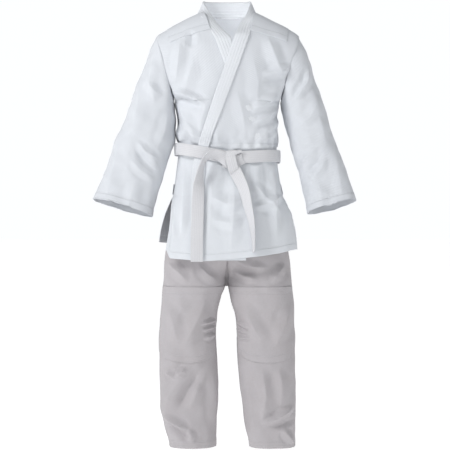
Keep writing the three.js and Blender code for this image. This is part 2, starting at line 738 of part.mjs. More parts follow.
const hemTop = -trouserLength + legHemWidth;
const legColumns = 8;
const legRows = 10;
const seamInset = 0.004;
const underHips = [
  [-cutReach, -trouserLength - 50],
  [cutReach, -trouserLength - 50],
  [cutReach, -hipAxisDrop],
  [-cutReach, -hipAxisDrop],
];
const legBound = hipBar(hipJointRadius - seamGap)
  .add(outlineBlock(underHips))
  .add(outlineBlock(underHips, "back"));

// side -1 is the wearer's right leg, side 1 the wearer's left.
function legPieces(side) {
  const place = (geometry) => (side > 0 ? mirrored(geometry) : geometry);
  const lean = (surface) => leaning(surface, side);
  const panel = (facing) => {
    const surface = lean(legSurface(facing, hemTop + seamGap, legTop));
    const area = [seamInset, 1 - seamInset, 0, 1];
    return toSolid(place(clothShell(surface, area, legColumns, legRows))).intersect(legBound);
  };
  const patchSurface = lean(legSurface("front", -kneePatchBottom, -kneePatchTop));
  const patchArea = [1 / legColumns, 1 - 1 / legColumns, 0, 1];
  const patch = place(clothShell(patchSurface, patchArea, legColumns - 2, 3, { lift: layerStep + 1 }));
  const hemSurface = lean((turn, v) => {
    if (turn <= 0.5) return legSurface("front", -trouserLength, hemTop)(turn * 2, v);
    return legSurface("back", -trouserLength, hemTop)(turn * 2 - 1, v);
  });
  const hem = place(clothShell(hemSurface, [0, 1, 0, 1], 2 * legColumns, 1, { ring: true }));
  return { front: panel("front"), back: panel("back"), patch, hem };
}

// The gusset runs from the front of the seat, between the legs, to the back of the seat.
function gussetSurface(u, v) {
  const angle = Math.PI * v;
  const radiusZ = crotchDrop - hipAxisDrop;
  const seatEdge = Math.sqrt(hipJointRadius ** 2 - hipHalfDepth ** 2);
  const y = -hipHalfDepth * Math.cos(angle);
  const z = -hipAxisDrop - radiusZ * Math.sin(angle) + (seatEdge - 2) * Math.cos(angle) ** 6;
  return new THREE.Vector3(gussetHalfWidth * (2 * u - 1), y, z);
}
const gusset = toSolid(clothShell(gussetSurface, [0, 1, 0, 1], 1, 12)).intersect(legBound);

// ---- Assembly -------------------------------------------------------------------------------------

const uniform = new THREE.Group();

function addPiece(name, shape, look) {
  const geometry = shape.isBufferGeometry ? shape : toGeometry(shape);
  const mesh = new THREE.Mesh(geometry, new THREE.MeshStandardMaterial({ metalness: 0, ...look }));
  mesh.name = name;
  uniform.add(mesh);
}

addPiece("jacket_back", jacketBack, white);
addPiece("jacket_front_left", jacketFrontLeft, white);
addPiece("jacket_front_right", jacketFrontRight, white);
addPiece("lapel_left", lapelLeft, white);
addPiece("lapel_right", lapelRight, white);
addPiece("neck_band", neckBand, white);
addPiece("shoulder_yoke_right", yokeRight, white);
addPiece("shoulder_yoke_left", yokeLeft, white);

addPiece("skirt_front_left", skirtFrontLeft, white);
addPiece("skirt_front_right", skirtFrontRight, white);
addPiece("lapel_left_skirt", lapelSkirt, white);
addPiece("skirt_back", skirtBackPiece, white);
addPiece("skirt_back_flap", backFlap, white);
addPiece("slit_patch_right", slitPatch(), white);
addPiece("slit_patch_left", mirrored(slitPatch()), white);

for (const [side, turnOver] of [["right", (g) => g], ["left", mirrored]]) {
  addPiece(`sleeve_${side}_front`, turnOver(sleeveFront), white);
  addPiece(`sleeve_${side}_back`, turnOver(sleeveBack), white);
  addPiece(`cuff_hem_${side}`, turnOver(cuffHem), white);
}

addPiece("belt_back", beltBack, beltWhite);
addPiece("belt_front_right", beltFrontRight, beltWhite);
addPiece("belt_front_left", beltFrontLeft, beltWhite);
addPiece("belt_knot", beltKnot, beltWhite);
addPiece("belt_tail_bend", tailBend, beltWhite);
addPiece("belt_tail_right", tailRight, beltWhite);
addPiece("belt_tail_left", tailLeft, beltWhite);

addPiece("waistband_front", waistbandFront, trouserWhite);
addPiece("waistband_back", waistbandBack, trouserWhite);
addPiece("tie_loop_right", tieLoop(-tieLoopX), trouserWhite);
addPiece("tie_loop_left", tieLoop(tieLoopX), trouserWhite);
addPiece("seat_front", seatFront, trouserWhite);
addPiece("seat_back", seatBack, trouserWhite);
addPiece("crotch_gusset", gusset, trouserWhite);

for (const [side, direction] of [["right", -1], ["left", 1]]) {
  const { front, back, patch, hem } = legPieces(direction);
  addPiece(`leg_${side}_front`, front, trouserWhite);
  addPiece(`leg_${side}_back`, back, trouserWhite);
  addPiece(`knee_patch_${side}`, patch, trouserWhite);
  addPiece(`leg_hem_${side}`, hem, trouserWhite);
}

export default uniform;
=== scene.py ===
# %% [markdown]
# # A martial arts uniform
# The uniform is a wrap jacket, a tied belt and loose trousers, shaped as they hang on a wearer. The
# fixed model gives each piece's place and size. Every cloth panel is built here as a grid of points
# on a smooth surface, pushed in and out by its folds, and then given the thickness of cloth.

# %% Load the fixed model
import math
import bpy
import numpy as np
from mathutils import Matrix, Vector, noise


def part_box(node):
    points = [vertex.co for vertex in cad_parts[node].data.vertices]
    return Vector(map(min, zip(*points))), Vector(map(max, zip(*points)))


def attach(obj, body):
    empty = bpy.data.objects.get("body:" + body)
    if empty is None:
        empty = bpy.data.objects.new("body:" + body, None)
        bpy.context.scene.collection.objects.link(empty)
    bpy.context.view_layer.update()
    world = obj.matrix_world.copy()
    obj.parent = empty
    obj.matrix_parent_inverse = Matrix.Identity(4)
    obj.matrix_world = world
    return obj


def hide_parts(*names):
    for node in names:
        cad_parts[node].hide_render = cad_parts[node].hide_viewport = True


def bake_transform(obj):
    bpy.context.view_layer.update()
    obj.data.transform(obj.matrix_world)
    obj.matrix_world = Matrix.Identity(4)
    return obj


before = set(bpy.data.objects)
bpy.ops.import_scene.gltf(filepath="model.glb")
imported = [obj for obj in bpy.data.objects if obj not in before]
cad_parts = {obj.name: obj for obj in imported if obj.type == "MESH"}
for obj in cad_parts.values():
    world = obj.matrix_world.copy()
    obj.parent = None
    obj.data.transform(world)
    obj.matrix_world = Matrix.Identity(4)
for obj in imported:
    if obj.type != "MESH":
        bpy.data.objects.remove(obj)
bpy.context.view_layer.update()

# %% [markdown]
# ## Camera
# The camera stands four metres in front at the height of the wearer's hips, with a long lens, so that
# the view is nearly square-on and the collar is seen slightly from below.

# %% Camera
eye_height = -0.230
eye_distance = 4.0
view_size = 1.5
camera_data = bpy.data.cameras.new("camera")
camera_data.sensor_width = 36
camera_data.lens = 36 * (eye_distance - 0.02) / view_size
camera = bpy.data.objects.new("camera", camera_data)
camera.location = (-0.008, -eye_distance, eye_height)
camera.rotation_euler = (math.radians(90), 0, 0)
bpy.context.scene.collection.objects.link(camera)
bpy.context.scene.camera = camera
print("lens", round(camera_data.lens, 1), "mm")

# %% [markdown]
# ## Main sizes
# Heights and half widths come from the boxes of the fixed model's nodes.

# %% Main sizes
def low(node, axis):
    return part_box(node)[0]["XYZ".index(axis)]


def high(node, axis):
    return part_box(node)[1]["XYZ".index(axis)]


shoulder_half = high("jacket_back", "X") - 0.001
armpit_half = shoulder_half - 0.060
waist_seam = low("jacket_back", "Z")
armpit_height = waist_seam + 0.146
shoulder_height = waist_seam + 0.366
neck_point = waist_seam + 0.441
neck_half = 0.093
skirt_hem = low("skirt_front_left", "Z")
slit_height = high("skirt_back_flap", "Z")
trouser_hem = low("leg_hem_right", "Z")
cloth = 0.0016  # thickness of a panel
print("shoulders", round(2 * shoulder_half, 3), "m wide; trousers", round(-trouser_hem, 3), "m long")

# %% [markdown]
# ## Curves and folds
# A smooth curve through a few values describes how a width or a depth changes with height. A fold is
# a ridge or a valley along a line drawn on the front (or back) of the uniform, with its own width and
# height, that fades out at both ends.

# %% Curves
def smooth_curve(points):
    """A smooth function through [(position, value), ...], level past its ends."""
    xs, ys = (np.array(row, float) for row in zip(*sorted(points)))
    rise = np.diff(ys) / np.diff(xs)
    slopes = np.zeros(len(xs))
    inner = rise[:-1] * rise[1:] > 0
    slopes[1:-1][inner] = 2 * rise[:-1][inner] * rise[1:][inner] / (rise[:-1][inner] + rise[1:][inner])

    def value(x):
        x = np.clip(np.asarray(x, float), xs[0], xs[-1])
        i = np.clip(np.searchsorted(xs, x, side="right") - 1, 0, len(xs) - 2)
        span = xs[i + 1] - xs[i]
        t = (x - xs[i]) / span
        start = (1 + 2 * t) * (1 - t) ** 2 * ys[i] + t * (1 - t) ** 2 * span * slopes[i]
        return start + t * t * (3 - 2 * t) * ys[i + 1] + t * t * (t - 1) * span * slopes[i + 1]

    return value


def ease(x, start, end):
    t = np.clip((np.asarray(x, float) - start) / (end - start), 0, 1)
    return t * t * (3 - 2 * t)


def oval(t, power):
    """1 at the middle of the body (t = 0), falling to 0 at its side (t = 1 or -1)."""
    return np.clip(1 - np.abs(t) ** power, 0, 1) ** (1 / power)


def fuller(wave, power):
    """A sine or cosine made fuller by a power under 1, so that a ring of them is nearly a rectangle."""
    return np.sign(wave) * np.abs(wave) ** power


# %% Folds
def fold_lines(*rows):
    """Each row is a fold in millimetres: its width, its height, and then x, z, x, z, ... along it."""
    folds = []
    for width, height, *places in rows:
        line = [(x / 1000, z / 1000) for x, z in zip(places[::2], places[1::2])]
        folds.append((line, width / 1000, height / 1000))
    return folds


def fold_height(points, line, width, height, blunt=0.35):
    """How far one fold pushes each point out: line is [(x, z), ...] as seen from the front."""
    here = points[..., [0, 2]]
    best = np.full(here.shape[:-1], np.inf)
    along = np.zeros(here.shape[:-1])
    line = np.array(line, float)
    lengths = np.hypot(*np.diff(line, axis=0).T)
    total = lengths.sum()
    done = 0.0
    for a, b, length in zip(line[:-1], line[1:], lengths):
        step = (b - a) / length
        t = np.clip((here - a) @ step, 0, length)
        gap = np.hypot(*np.moveaxis(here - (a + t[..., None] * step), -1, 0))
        nearer = gap < best
        best = np.where(nearer, gap, best)
        along = np.where(nearer, (done + t) / total, along)
        done += length
    fade = ease(along, 0, blunt) * ease(1 - along, 0, blunt)
    taper = width * (0.6 + 0.4 * fade)
    away = best / taper
    return height * fade * (np.exp(-(away**1.25)) - 0.3 * np.exp(-(((away - 1.8) / 0.8) ** 2)))


def soft_noise(points, size, height, seed, stretch=(1, 1, 1)):
    """A smooth random height at each point: bumps of about size metres, other ones for each seed."""
    values = []
    for x, y, z in points.reshape(-1, 3):
        place = Vector((x * stretch[0], y * stretch[1], z * stretch[2])) / size
        values.append(noise.noise(place + Vector((seed, 0, 0))))
    return height * np.array(values).reshape(points.shape[:-1])


# %% [markdown]
# ## Building a cloth panel
# A panel's grid is computed from its surface, moved along its normals by folds, and turned into a
# mesh with a UV map measured in metres, so that a weave keeps its real size. The Solidify modifier
# gives it thickness. Its cut size and area are taken from the grid before the folds are added.

# %% Panel builder
hem_fold = 0.0215  # width of the cloth turned over at a hem


def grid_normals(points, ring):
    along_u = np.gradient(points, axis=0)
    if ring:
        along_u[0] = along_u[-1] = (points[1] - points[-2]) / 2
    along_v = np.gradient(points, axis=1)
    normals = np.cross(along_u, along_v)
    return normals / np.maximum(np.linalg.norm(normals, axis=-1, keepdims=True), 1e-9)


def grid_area(points):
    du = points[1:, :-1] - points[:-1, :-1]
    dv = points[:-1, 1:] - points[:-1, :-1]
    return np.linalg.norm(np.cross(du, dv), axis=-1).sum()


def cloth_panel(name, points, relief=None, ring=False, thickness=cloth, sewn=(), turned=0.0008):
    """points[u, v] is a grid of places; relief[u, v] moves them outwards; sewn names the edges that
    are turned over and stitched. Returns the piece, the size it was cut to, and the cut's area."""
    width = np.linalg.norm(np.diff(points, axis=0), axis=-1).sum(axis=0)
    length = np.linalg.norm(np.diff(points, axis=1), axis=-1).sum(axis=1)
    area = grid_area(points)
    u_place = np.zeros(points.shape[:2])
    u_place[1:] = np.linalg.norm(np.diff(points, axis=0), axis=-1).cumsum(axis=0)
    v_place = np.zeros(points.shape[:2])
    v_place[:, 1:] = np.linalg.norm(np.diff(points, axis=1), axis=-1).cumsum(axis=1)
    edges = {"bottom": v_place, "top": v_place[:, -1:] - v_place, "start": u_place,
             "end": u_place[-1:] - u_place}
    hem = np.minimum.reduce([edges[side] for side in sewn] + [np.ones_like(v_place)])
    raised = np.zeros_like(v_place) if relief is None else relief
    raised = raised + turned * (1 - ease(hem, hem_fold, hem_fold + 0.004))
    placed = points + grid_normals(points, ring) * raised[..., None]
    columns, rows = points.shape[0], points.shape[1]
    used = columns - 1 if ring else columns
    index = lambda i, j: (i % used if ring else i) * rows + j
    faces = [
        (index(i, j), index(i + 1, j), index(i + 1, j + 1), index(i, j + 1))
        for i in range(columns - 1)
        for j in range(rows - 1)
    ]
    mesh = bpy.data.meshes.new(name)
    mesh.from_pydata(placed[:used].reshape(-1, 3).tolist(), [], faces)
    edge_distance = mesh.attributes.new("hem", "FLOAT", "POINT")
    edge_distance.data.foreach_set("value", hem[:used].ravel().astype(np.float32))
    layer = mesh.uv_layers.new(name="UVMap")
    square = ((0, 0), (1, 0), (1, 1), (0, 1))
    at = np.array([(i + a, j + b) for i in range(columns - 1) for j in range(rows - 1) for a, b in square])
    uv = np.stack([u_place[at[:, 0], at[:, 1]], v_place[at[:, 0], at[:, 1]]], axis=-1)
    layer.data.foreach_set("uv", uv.ravel().astype(np.float32))
    mesh.polygons.foreach_set("use_smooth", [True] * len(faces))
    piece = bpy.data.objects.new(name, mesh)
    bpy.context.scene.collection.objects.link(piece)
    give_thickness(piece, thickness)
    print(name, len(mesh.polygons), "faces, cut area", round(float(area), 3), "m2")
    return piece, (float(width.max()), float(length.max())), float(area)


def give_thickness(piece, thickness):
    wall = piece.modifiers.new("thickness", "SOLIDIFY")
    wall.thickness = thickness
    wall.offset = -1
    bpy.ops.object.select_all(action="DESELECT")
    bpy.context.view_layer.objects.active = piece
    piece.select_set(True)
    bpy.ops.object.modifier_apply(modifier=wall.name)


def hang(made, body, slot, nodes, bend=None):
    """Finishes a panel: attaches it to the body it moves with, hides the parts it replaces and gives it the
    finish of its slot.
    A panel given bend is only baked where it stands and is not attached to body; what bend holds is not
    used. A tape gives its full width, whatever width it is drawn with."""
    piece, cut, area = made
    if bend:
        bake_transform(piece)
    else:
        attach(piece, body)
    if nodes:
        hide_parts(*nodes)
    piece.data.materials.append(finishes[slot])


# %% [markdown]
# ## Cloth finishes
# Three effects are shared by the finishes and are node groups. The first is a weave: raised threads
# in a regular pattern on the panel's own UV map, in metres, with painted shade in the gaps between
# them. The second is a row of stitches at a given distance from a sewn edge, which each panel stores
# in an attribute named hem, with painted shade in the groove beside it. The third is the soft
# change of shade that cotton gets from washing and pressing.

# %% Node helpers
def new_group(name, inputs, outputs):
    group = bpy.data.node_groups.new(name, "ShaderNodeTree")
    for label, kind, default in inputs:
        socket = group.interface.new_socket(label, in_out="INPUT", socket_type=kind)
        socket.default_value = default
    for label, kind in outputs:
        group.interface.new_socket(label, in_out="OUTPUT", socket_type=kind)
    return group, group.nodes.new("NodeGroupInput").outputs, group.nodes.new("NodeGroupOutput").inputs


def connect(tree, kind, settings=None, **inputs):
    """Adds one node; each input is a socket to link or a plain value."""
    node = tree.nodes.new(kind)
    for key, value in (settings or {}).items():
        setattr(node, key, value)
    for key, value in inputs.items():
        name = key.replace("_", " ")
        numbered = name.startswith("in") and name[2:].isdigit()
        socket = node.inputs[int(name[2:])] if numbered else node.inputs[name]
        if isinstance(value, bpy.types.NodeSocket):
            tree.links.new(value, socket)
        else:
            socket.default_value = value
    return node.outputs


def maths(tree, operation, a, b=0.0, c=0.0):
    return connect(tree, "ShaderNodeMath", {"operation": operation}, in0=a, in1=b, in2=c)[0]


# %% Weave group
weave_group, given, result = new_group(
    "thread relief",
    [("Grain", "NodeSocketFloat", 300.0), ("Slant", "NodeSocketFloat", 0.0),
     ("Stretch", "NodeSocketFloat", 1.0)],
    [("Height", "NodeSocketFloat"), ("Gap shade", "NodeSocketFloat")],
)
uv = connect(weave_group, "ShaderNodeUVMap", {"uv_map": "UVMap"})[0]
place = connect(weave_group, "ShaderNodeSeparateXYZ", Vector=uv)
across = maths(weave_group, "MULTIPLY", place[0], given["Grain"])
along = maths(weave_group, "MULTIPLY", maths(weave_group, "MULTIPLY", place[1], given["Grain"]),
              given["Stretch"])
slanted = maths(weave_group, "MULTIPLY_ADD", along, given["Slant"], across)
counter = maths(weave_group, "SUBTRACT", along, maths(weave_group, "MULTIPLY", across, given["Slant"]))
warp = maths(weave_group, "SINE", maths(weave_group, "MULTIPLY", slanted, math.pi))
weft = maths(weave_group, "SINE", maths(weave_group, "MULTIPLY", counter, math.pi))
crossing = maths(weave_group, "MULTIPLY", warp, weft)
lifted = maths(weave_group, "MULTIPLY_ADD", crossing, 0.5, 0.5)
fuzz = connect(weave_group, "ShaderNodeTexNoise", None, Vector=uv, Scale=900.0, Detail=3.0)[0]
weave_group.links.new(maths(weave_group, "MULTIPLY_ADD", fuzz, 0.35, lifted), result["Height"])
# The gaps between the threads: a mask that the finishes use for painted shade.
weave_group.links.new(maths(weave_group, "LESS_THAN", lifted, 0.3), result["Gap shade"])
print("weave group ready")

# %% Stitch group
stitch_group, given, result = new_group(
    "stitch row",
    [("Distance", "NodeSocketFloat", 0.0), ("Row", "NodeSocketFloat", 0.022),
     ("Stitch", "NodeSocketFloat", 0.004)],
    [("Thread", "NodeSocketFloat"), ("Groove", "NodeSocketFloat")],
)
uv = connect(stitch_group, "ShaderNodeUVMap", {"uv_map": "UVMap"})[0]
place = connect(stitch_group, "ShaderNodeSeparateXYZ", Vector=uv)
travel = maths(stitch_group, "ADD", place[0], place[1])
turn = maths(stitch_group, "FRACT", maths(stitch_group, "DIVIDE", travel, given["Stitch"]))
dash = maths(stitch_group, "LESS_THAN", turn, 0.72)
off_row = maths(stitch_group, "ABSOLUTE", maths(stitch_group, "SUBTRACT", given["Distance"], given["Row"]))
near = connect(stitch_group, "ShaderNodeMapRange", None, Value=off_row, From_Min=0.0, From_Max=0.0032,
               To_Min=1.0, To_Max=0.0)[0]
on_thread = maths(stitch_group, "LESS_THAN", off_row, 0.0006)
stitch_group.links.new(maths(stitch_group, "MULTIPLY", on_thread, dash), result["Thread"])
# Groove marks the dip beside the row: it shapes the bump, and the finishes also darken the colour there as
# painted shade.
stitch_group.links.new(near, result["Groove"])
print("stitch group ready")

# %% Washed cotton group
wash_group, given, result = new_group(
    "washed cotton",
    [("Bright", "NodeSocketColor", (0.8, 0.8, 0.8, 1)), ("Dull", "NodeSocketColor", (0.7, 0.7, 0.7, 1))],
    [("Color", "NodeSocketColor"), ("Pale", "NodeSocketFloat")],
)
spot = connect(wash_group, "ShaderNodeTexCoord")["Object"]
clouds = connect(wash_group, "ShaderNodeTexNoise", None, Vector=spot, Scale=7.0, Detail=4.0,
                 Roughness=0.6)[0]
slubs = connect(wash_group, "ShaderNodeTexNoise", None, Vector=spot, Scale=160.0, Detail=2.0)[0]
pale = maths(wash_group, "MULTIPLY_ADD", slubs, 0.35, maths(wash_group, "MULTIPLY", clouds, 0.65))
mixed = connect(wash_group, "ShaderNodeMix", {"data_type": "RGBA"}, in0=pale, in6=given["Dull"],
                in7=given["Bright"])
wash_group.links.new(mixed[2], result["Color"])
wash_group.links.new(pale, result["Pale"])
print("wash group ready")


# %% [markdown]
# Each finish places the groups with its own values. The jacket's top has a rice-grain weave, its skirt
# a finer diamond weave, the collar and the belt are twill tape with rows of stitching along them, and
# the trousers are a lighter twill. Cotton has a weak sheen and no gloss.

# %% Cloth finishes
def place_group(tree, group, **inputs):
    node = tree.nodes.new("ShaderNodeGroup")
    node.node_tree = group
    for name, value in inputs.items():
        if isinstance(value, bpy.types.NodeSocket):
            tree.links.new(value, node.inputs[name])
        else:
            node.inputs[name].default_value = value
    return node.outputs


def cotton(name, bright, dull, grain, slant=0.0, stretch=1.0, weave_depth=0.0004, tape_rows=None,
           hem_row=0.022):
    """tape_rows is the spacing of stitch rows that run along a tape, or None for a panel with hems."""
    material = bpy.data.materials.new(name)
    material.use_nodes = True
    tree = material.node_tree
    shader = tree.nodes["Principled BSDF"]
    wash = place_group(tree, wash_group, Bright=(*bright, 1), Dull=(*dull, 1))
    weave = place_group(tree, weave_group, Grain=grain, Slant=slant, Stretch=stretch)
    if tape_rows:
        uv = connect(tree, "ShaderNodeUVMap", {"uv_map": "UVMap"})[0]
        across = connect(tree, "ShaderNodeSeparateXYZ", Vector=uv)[0]
        distance = maths(tree, "PINGPONG", maths(tree, "ADD", across, tape_rows / 2), tape_rows / 2)
        stitches = place_group(tree, stitch_group, Distance=distance, Row=0.0, Stitch=0.0035)
    else:
        distance = connect(tree, "ShaderNodeAttribute", {"attribute_name": "hem"})["Fac"]
        stitches = place_group(tree, stitch_group, Distance=distance, Row=hem_row, Stitch=0.0040)
    # Painted shade: the colour is darkened a little in the gaps between the threads.
    gap_shade = maths(tree, "MULTIPLY", weave["Gap shade"], 0.10)
    shaded = connect(tree, "ShaderNodeMix", {"data_type": "RGBA", "blend_type": "MULTIPLY"}, in0=gap_shade,
                     in6=wash["Color"], in7=(0.72, 0.72, 0.74, 1))[2]
    # Painted shade: the colour is darkened in the groove beside each stitch row.
    groove_shade = maths(tree, "MULTIPLY", stitches["Groove"], 0.10)
    sewn = connect(tree, "ShaderNodeMix", {"data_type": "RGBA", "blend_type": "MULTIPLY"}, in0=groove_shade,
                   in6=shaded, in7=(0.62, 0.62, 0.65, 1))[2]
    threaded = connect(tree, "ShaderNodeMix", {"data_type": "RGBA"}, in0=stitches["Thread"], in6=sewn,
                       in7=(*[min(1, c * 1.06) for c in bright], 1))[2]
    tree.links.new(threaded, shader.inputs["Base Color"])
    relief = maths(tree, "MULTIPLY_ADD", stitches["Groove"], -1.6, weave["Height"])
    raised = maths(tree, "MULTIPLY_ADD", stitches["Thread"], 1.4, relief)
    bump = connect(tree, "ShaderNodeBump", None, Height=raised, Strength=0.75, Distance=weave_depth)[0]
    tree.links.new(bump, shader.inputs["Normal"])
    tree.links.new(maths(tree, "MULTIPLY_ADD", wash["Pale"], -0.16, 0.98), shader.inputs["Roughness"])
    shader.inputs["Sheen Weight"].default_value = 0.12
    shader.inputs["Sheen Roughness"].default_value = 0.6
    shader.inputs["Specular IOR Level"].default_value = 0.2
    return material


finishes = {
    "jacket_cloth": cotton("rice grain cotton", (0.67, 0.693, 0.731), (0.608, 0.631, 0.667), 330.0, 0.45,
                           0.7, 0.0008),
    "skirt_cloth": cotton("diamond cotton", (0.73, 0.753, 0.79), (0.65, 0.677, 0.713), 420.0, 1.0, 0.8,
                          0.0007),
    "collar_cloth": cotton("collar twill", (0.78, 0.803, 0.84), (0.705, 0.73, 0.765), 900.0, 1.0, 1.0,
                           0.0004, 0.0088),
    "belt_cloth": cotton("belt twill", (0.715, 0.717, 0.742), (0.635, 0.638, 0.66), 700.0, 0.0, 0.5,
                         0.0005, 0.0057),
    "trouser_cloth": cotton("trouser twill", (0.50, 0.485, 0.508), (0.41, 0.38, 0.388), 800.0, 1.0, 0.6,
                            0.0004),
}
print(len(finishes), "finishes")

# %% [markdown]
# ## The jacket's surface
# The body of the jacket is a smooth surface. At each height it has a half width, a depth in front and
# behind, and a cross-section that is full in the middle and closes at the side seam. Above the
# armpits it stays open at the sides, where the sleeves are sewn on, and it rounds over at the top into
# the shoulder line. Below the waist seam the skirt widens to its hem.

# %% Jacket surface
armhole_middle = (armpit_height + shoulder_height) / 2
armhole_half = (shoulder_height - armpit_height) / 2
armhole_depth = 0.084
half_width = smooth_curve([
    (skirt_hem, 0.232),
    (skirt_hem + 0.055, 0.230),
    (slit_height - 0.070, 0.212),
    (slit_height, 0.182),
    (-0.052, 0.163),
    (waist_seam, 0.163),
    (waist_seam + 0.045, 0.171),
    (waist_seam + 0.090, 0.169),
    (armpit_height, armpit_half),
    (armhole_middle, (armpit_half + shoulder_half) / 2),
    (shoulder_height, shoulder_half),
])
front_depth = smooth_curve([
    (skirt_hem, 0.146), (slit_height, 0.124), (-0.052, 0.108), (waist_seam, 0.108),
    (waist_seam + 0.05, 0.117), (armpit_height, 0.121), (armhole_middle, 0.116),
])
back_depth = smooth_curve([
    (skirt_hem, 0.138), (slit_height, 0.113), (-0.052, 0.098), (waist_seam, 0.098),
    (waist_seam + 0.05, 0.107), (armpit_height, 0.110), (armhole_middle, 0.108),
])
ridge_climb = smooth_curve([
    (armpit_height, 0), (armhole_middle, 0.024), (armhole_middle + 0.073, 0.066), (shoulder_height, 0.101),
])


def jacket_depth(t, side_height, facing):
    """How far the surface is in front of (or behind) the middle, t from -1 to 1 across it."""
    share = np.clip((side_height - armhole_middle) / armhole_half, -1, 1)
    opening = armhole_depth * np.where(side_height > armpit_height, oval(share, 2.4), 0)
    depth = (front_depth if facing == "front" else back_depth)(side_height)
    depth = depth * np.where(side_height > armhole_middle, oval(share, 2.4), 1)
    soft = ease(side_height, armpit_height, armpit_height + 0.06)
    section = (1 - soft) * oval(t, 2.6) + soft * (1 - np.abs(t) ** 2.6)
    return opening + np.maximum(depth - opening, 0) * section


def jacket_point(t, side_height, facing):
    x = t * half_width(side_height)
    z = side_height + ridge_climb(side_height) * (1 - np.abs(t) ** 1.5)
    y = jacket_depth(t, side_height, facing)
    return np.stack([x, -y if facing == "front" else y, z], axis=-1)


def jacket_front_at(x, z):
    """The place on the front surface that is seen at (x, z)."""
    side_height = np.asarray(z, float)
    for _ in range(12):
        t = np.clip(x / half_width(side_height), -1, 1)
        side_height = np.minimum(z - ridge_climb(side_height) * (1 - np.abs(t) ** 1.5), shoulder_height)
    return np.stack([x + 0 * z, -jacket_depth(t, side_height, "front"), z + 0 * x], axis=-1)


def body_rows(count):
    """Heights from the waist seam to the shoulder line, closer where the shoulders round over."""
    straight = np.linspace(waist_seam, armhole_middle, int(count * 0.6), endpoint=False)
    rounded = armhole_middle + armhole_half * np.sin(np.linspace(0, math.pi / 2, int(count * 0.4)))
    return np.concatenate([straight, rounded])


print("armholes", round(2 * armhole_half, 3), "m high")

# %% [markdown]
# ## The jacket's folds
# All layers of the front share one set of folds, so that they stay parallel. The cloth hangs over the
# belt in small pleats, long folds run from the shoulders to the armpits, and the skirt has vertical
# folds below the belt. A slow random swell keeps the flat areas from looking ironed.

# %% Jacket folds
front_folds = fold_lines(
    (12, 9, -190, 212, -130, 192, -62, 160),
    (11, -5, -190, 192, -125, 170, -70, 142),
    (12, -7, -120, 410, -118, 380, -122, 345),
    (16, 8, -150, 400, -160, 300, -172, 215),
    (20, 6, -105, 330, -130, 240, -150, 150),
    (14, 8, -165, 170, -135, 110, -95, 62),
    (12, 7, -158, 110, -120, 70, -75, 50),
    (16, 5, -60, 180, -85, 110, -95, 55),
    (12, 8, 110, 262, 175, 272, 218, 300),
    (12, -5, 108, 236, 170, 242, 210, 260),
    (14, 9, 168, 200, 120, 165, 70, 140),
    (12, 8, 172, 170, 130, 125, 80, 95),
    (12, 8, 178, 130, 140, 85, 95, 60),
    (18, 8, 125, 400, 150, 330, 190, 240),
    (22, 5, 80, 330, 100, 240, 95, 150),
    (18, 5, 30, 210, 50, 130, 60, 65),
    (9, 7, 175, 90, 140, 60, 90, 50),
    (18, 8, -60, -135, 0, -165, 60, -145),
    (14, 6, -55, -215, 10, -225, 60, -205),
    (14, 8, 75, -85, 120, -140, 178, -205),
    (12, 7, 80, -175, 125, -165, 185, -130),
    (14, 8, 150, -30, 152, -140, 160, -290),
    (20, 5, 20, -60, 22, -160, 10, -330),
    (13, 7, -140, -30, -142, -130, -150, -280),
    (10, 6, -168, -80, -172, -180, -178, -300),
    (18, 4, -60, -50, -50, -120, -60, -300),
)
back_folds = fold_lines(
    (16, 9, -170, 210, -110, 170, -40, 150),
    (16, 9, 170, 200, 115, 160, 50, 135),
    (13, 8, -165, 140, -110, 95, -50, 70),
    (13, 8, 168, 130, 110, 88, 45, 62),
    (18, 9, -150, 390, -150, 300, -165, 215),
    (18, 9, 150, 385, 152, 300, 168, 215),
    (24, 6, -80, 380, -90, 260, -85, 120),
    (24, 6, 75, 375, 92, 260, 80, 120),
    (26, 5, 0, 300, 6, 200, -4, 80),
    (18, 9, -120, -40, -130, -160, -150, -290),
    (20, 8, -50, -40, -55, -160, -60, -300),
    (20, 8, 30, -40, 35, -160, 30, -300),
    (18, 9, 110, -40, 120, -160, 140, -290),
)


def belt_height(x):
    """The belt sits higher on the wearer's right and is lowest at the knot."""
    knot = 0.013
    right = -0.012 + (0.033 * np.clip((knot - x) / 0.174, 0, 1))
    left = -0.012 + (0.010 * np.clip((x - knot) / 0.148, 0, 1))
    return np.where(x < knot, right, left)


def pleats(points, seed):
    """Small gathers that start at the belt and fade out above and below it."""
    above = points[..., 2] - belt_height(points[..., 0])
    fade = ease(above, 0.016, 0.034) * (1 - ease(above, 0.040, 0.100))
    fade = fade + 0.6 * ease(-above, 0.016, 0.034) * (1 - ease(-above, 0.040, 0.130))
    flat = points.copy()
    flat[..., 2] *= 0.25
    return fade * soft_noise(flat, 0.022, 0.011, seed)


def jacket_relief(points, facing):
    above = points[..., 2] - belt_height(points[..., 0])
    total = soft_noise(points, 0.13, 0.007, 3.0 if facing == "front" else 9.0, (1.3, 1, 0.8))
    total = total + soft_noise(points, 0.045, 0.0022, 21.0, (1.2, 1, 0.7))
    for line, width, height in front_folds if facing == "front" else back_folds:
        total = total + 1.25 * fold_height(points, line, width, height)
    total = total + pleats(points, 5.0 if facing == "front" else 14.0)
    total = total + 0.006 * ease(above, 0.014, 0.034) * (1 - ease(above, 0.045, 0.090))
    pressed = 1 - 0.92 * (1 - ease(np.abs(above), 0.018, 0.030))
    shoulder = 1 - 0.6 * ease(points[..., 2], shoulder_height - 0.02, neck_point)
    return total * pressed * shoulder


def seam_groove(distance, depth=0.0018, width=0.005):
    return -depth * np.exp(-((distance / width) ** 2))


print(len(front_folds), "folds in front,", len(back_folds), "behind")

# %% [markdown]
# ## Jacket top
# The wearer's left front lies over the right one, so it is raised by the thickness of the layer
# below. Each front runs from its seam with the collar to the side seam and the armhole. The back is
# one panel. The layers are far enough apart never to touch.

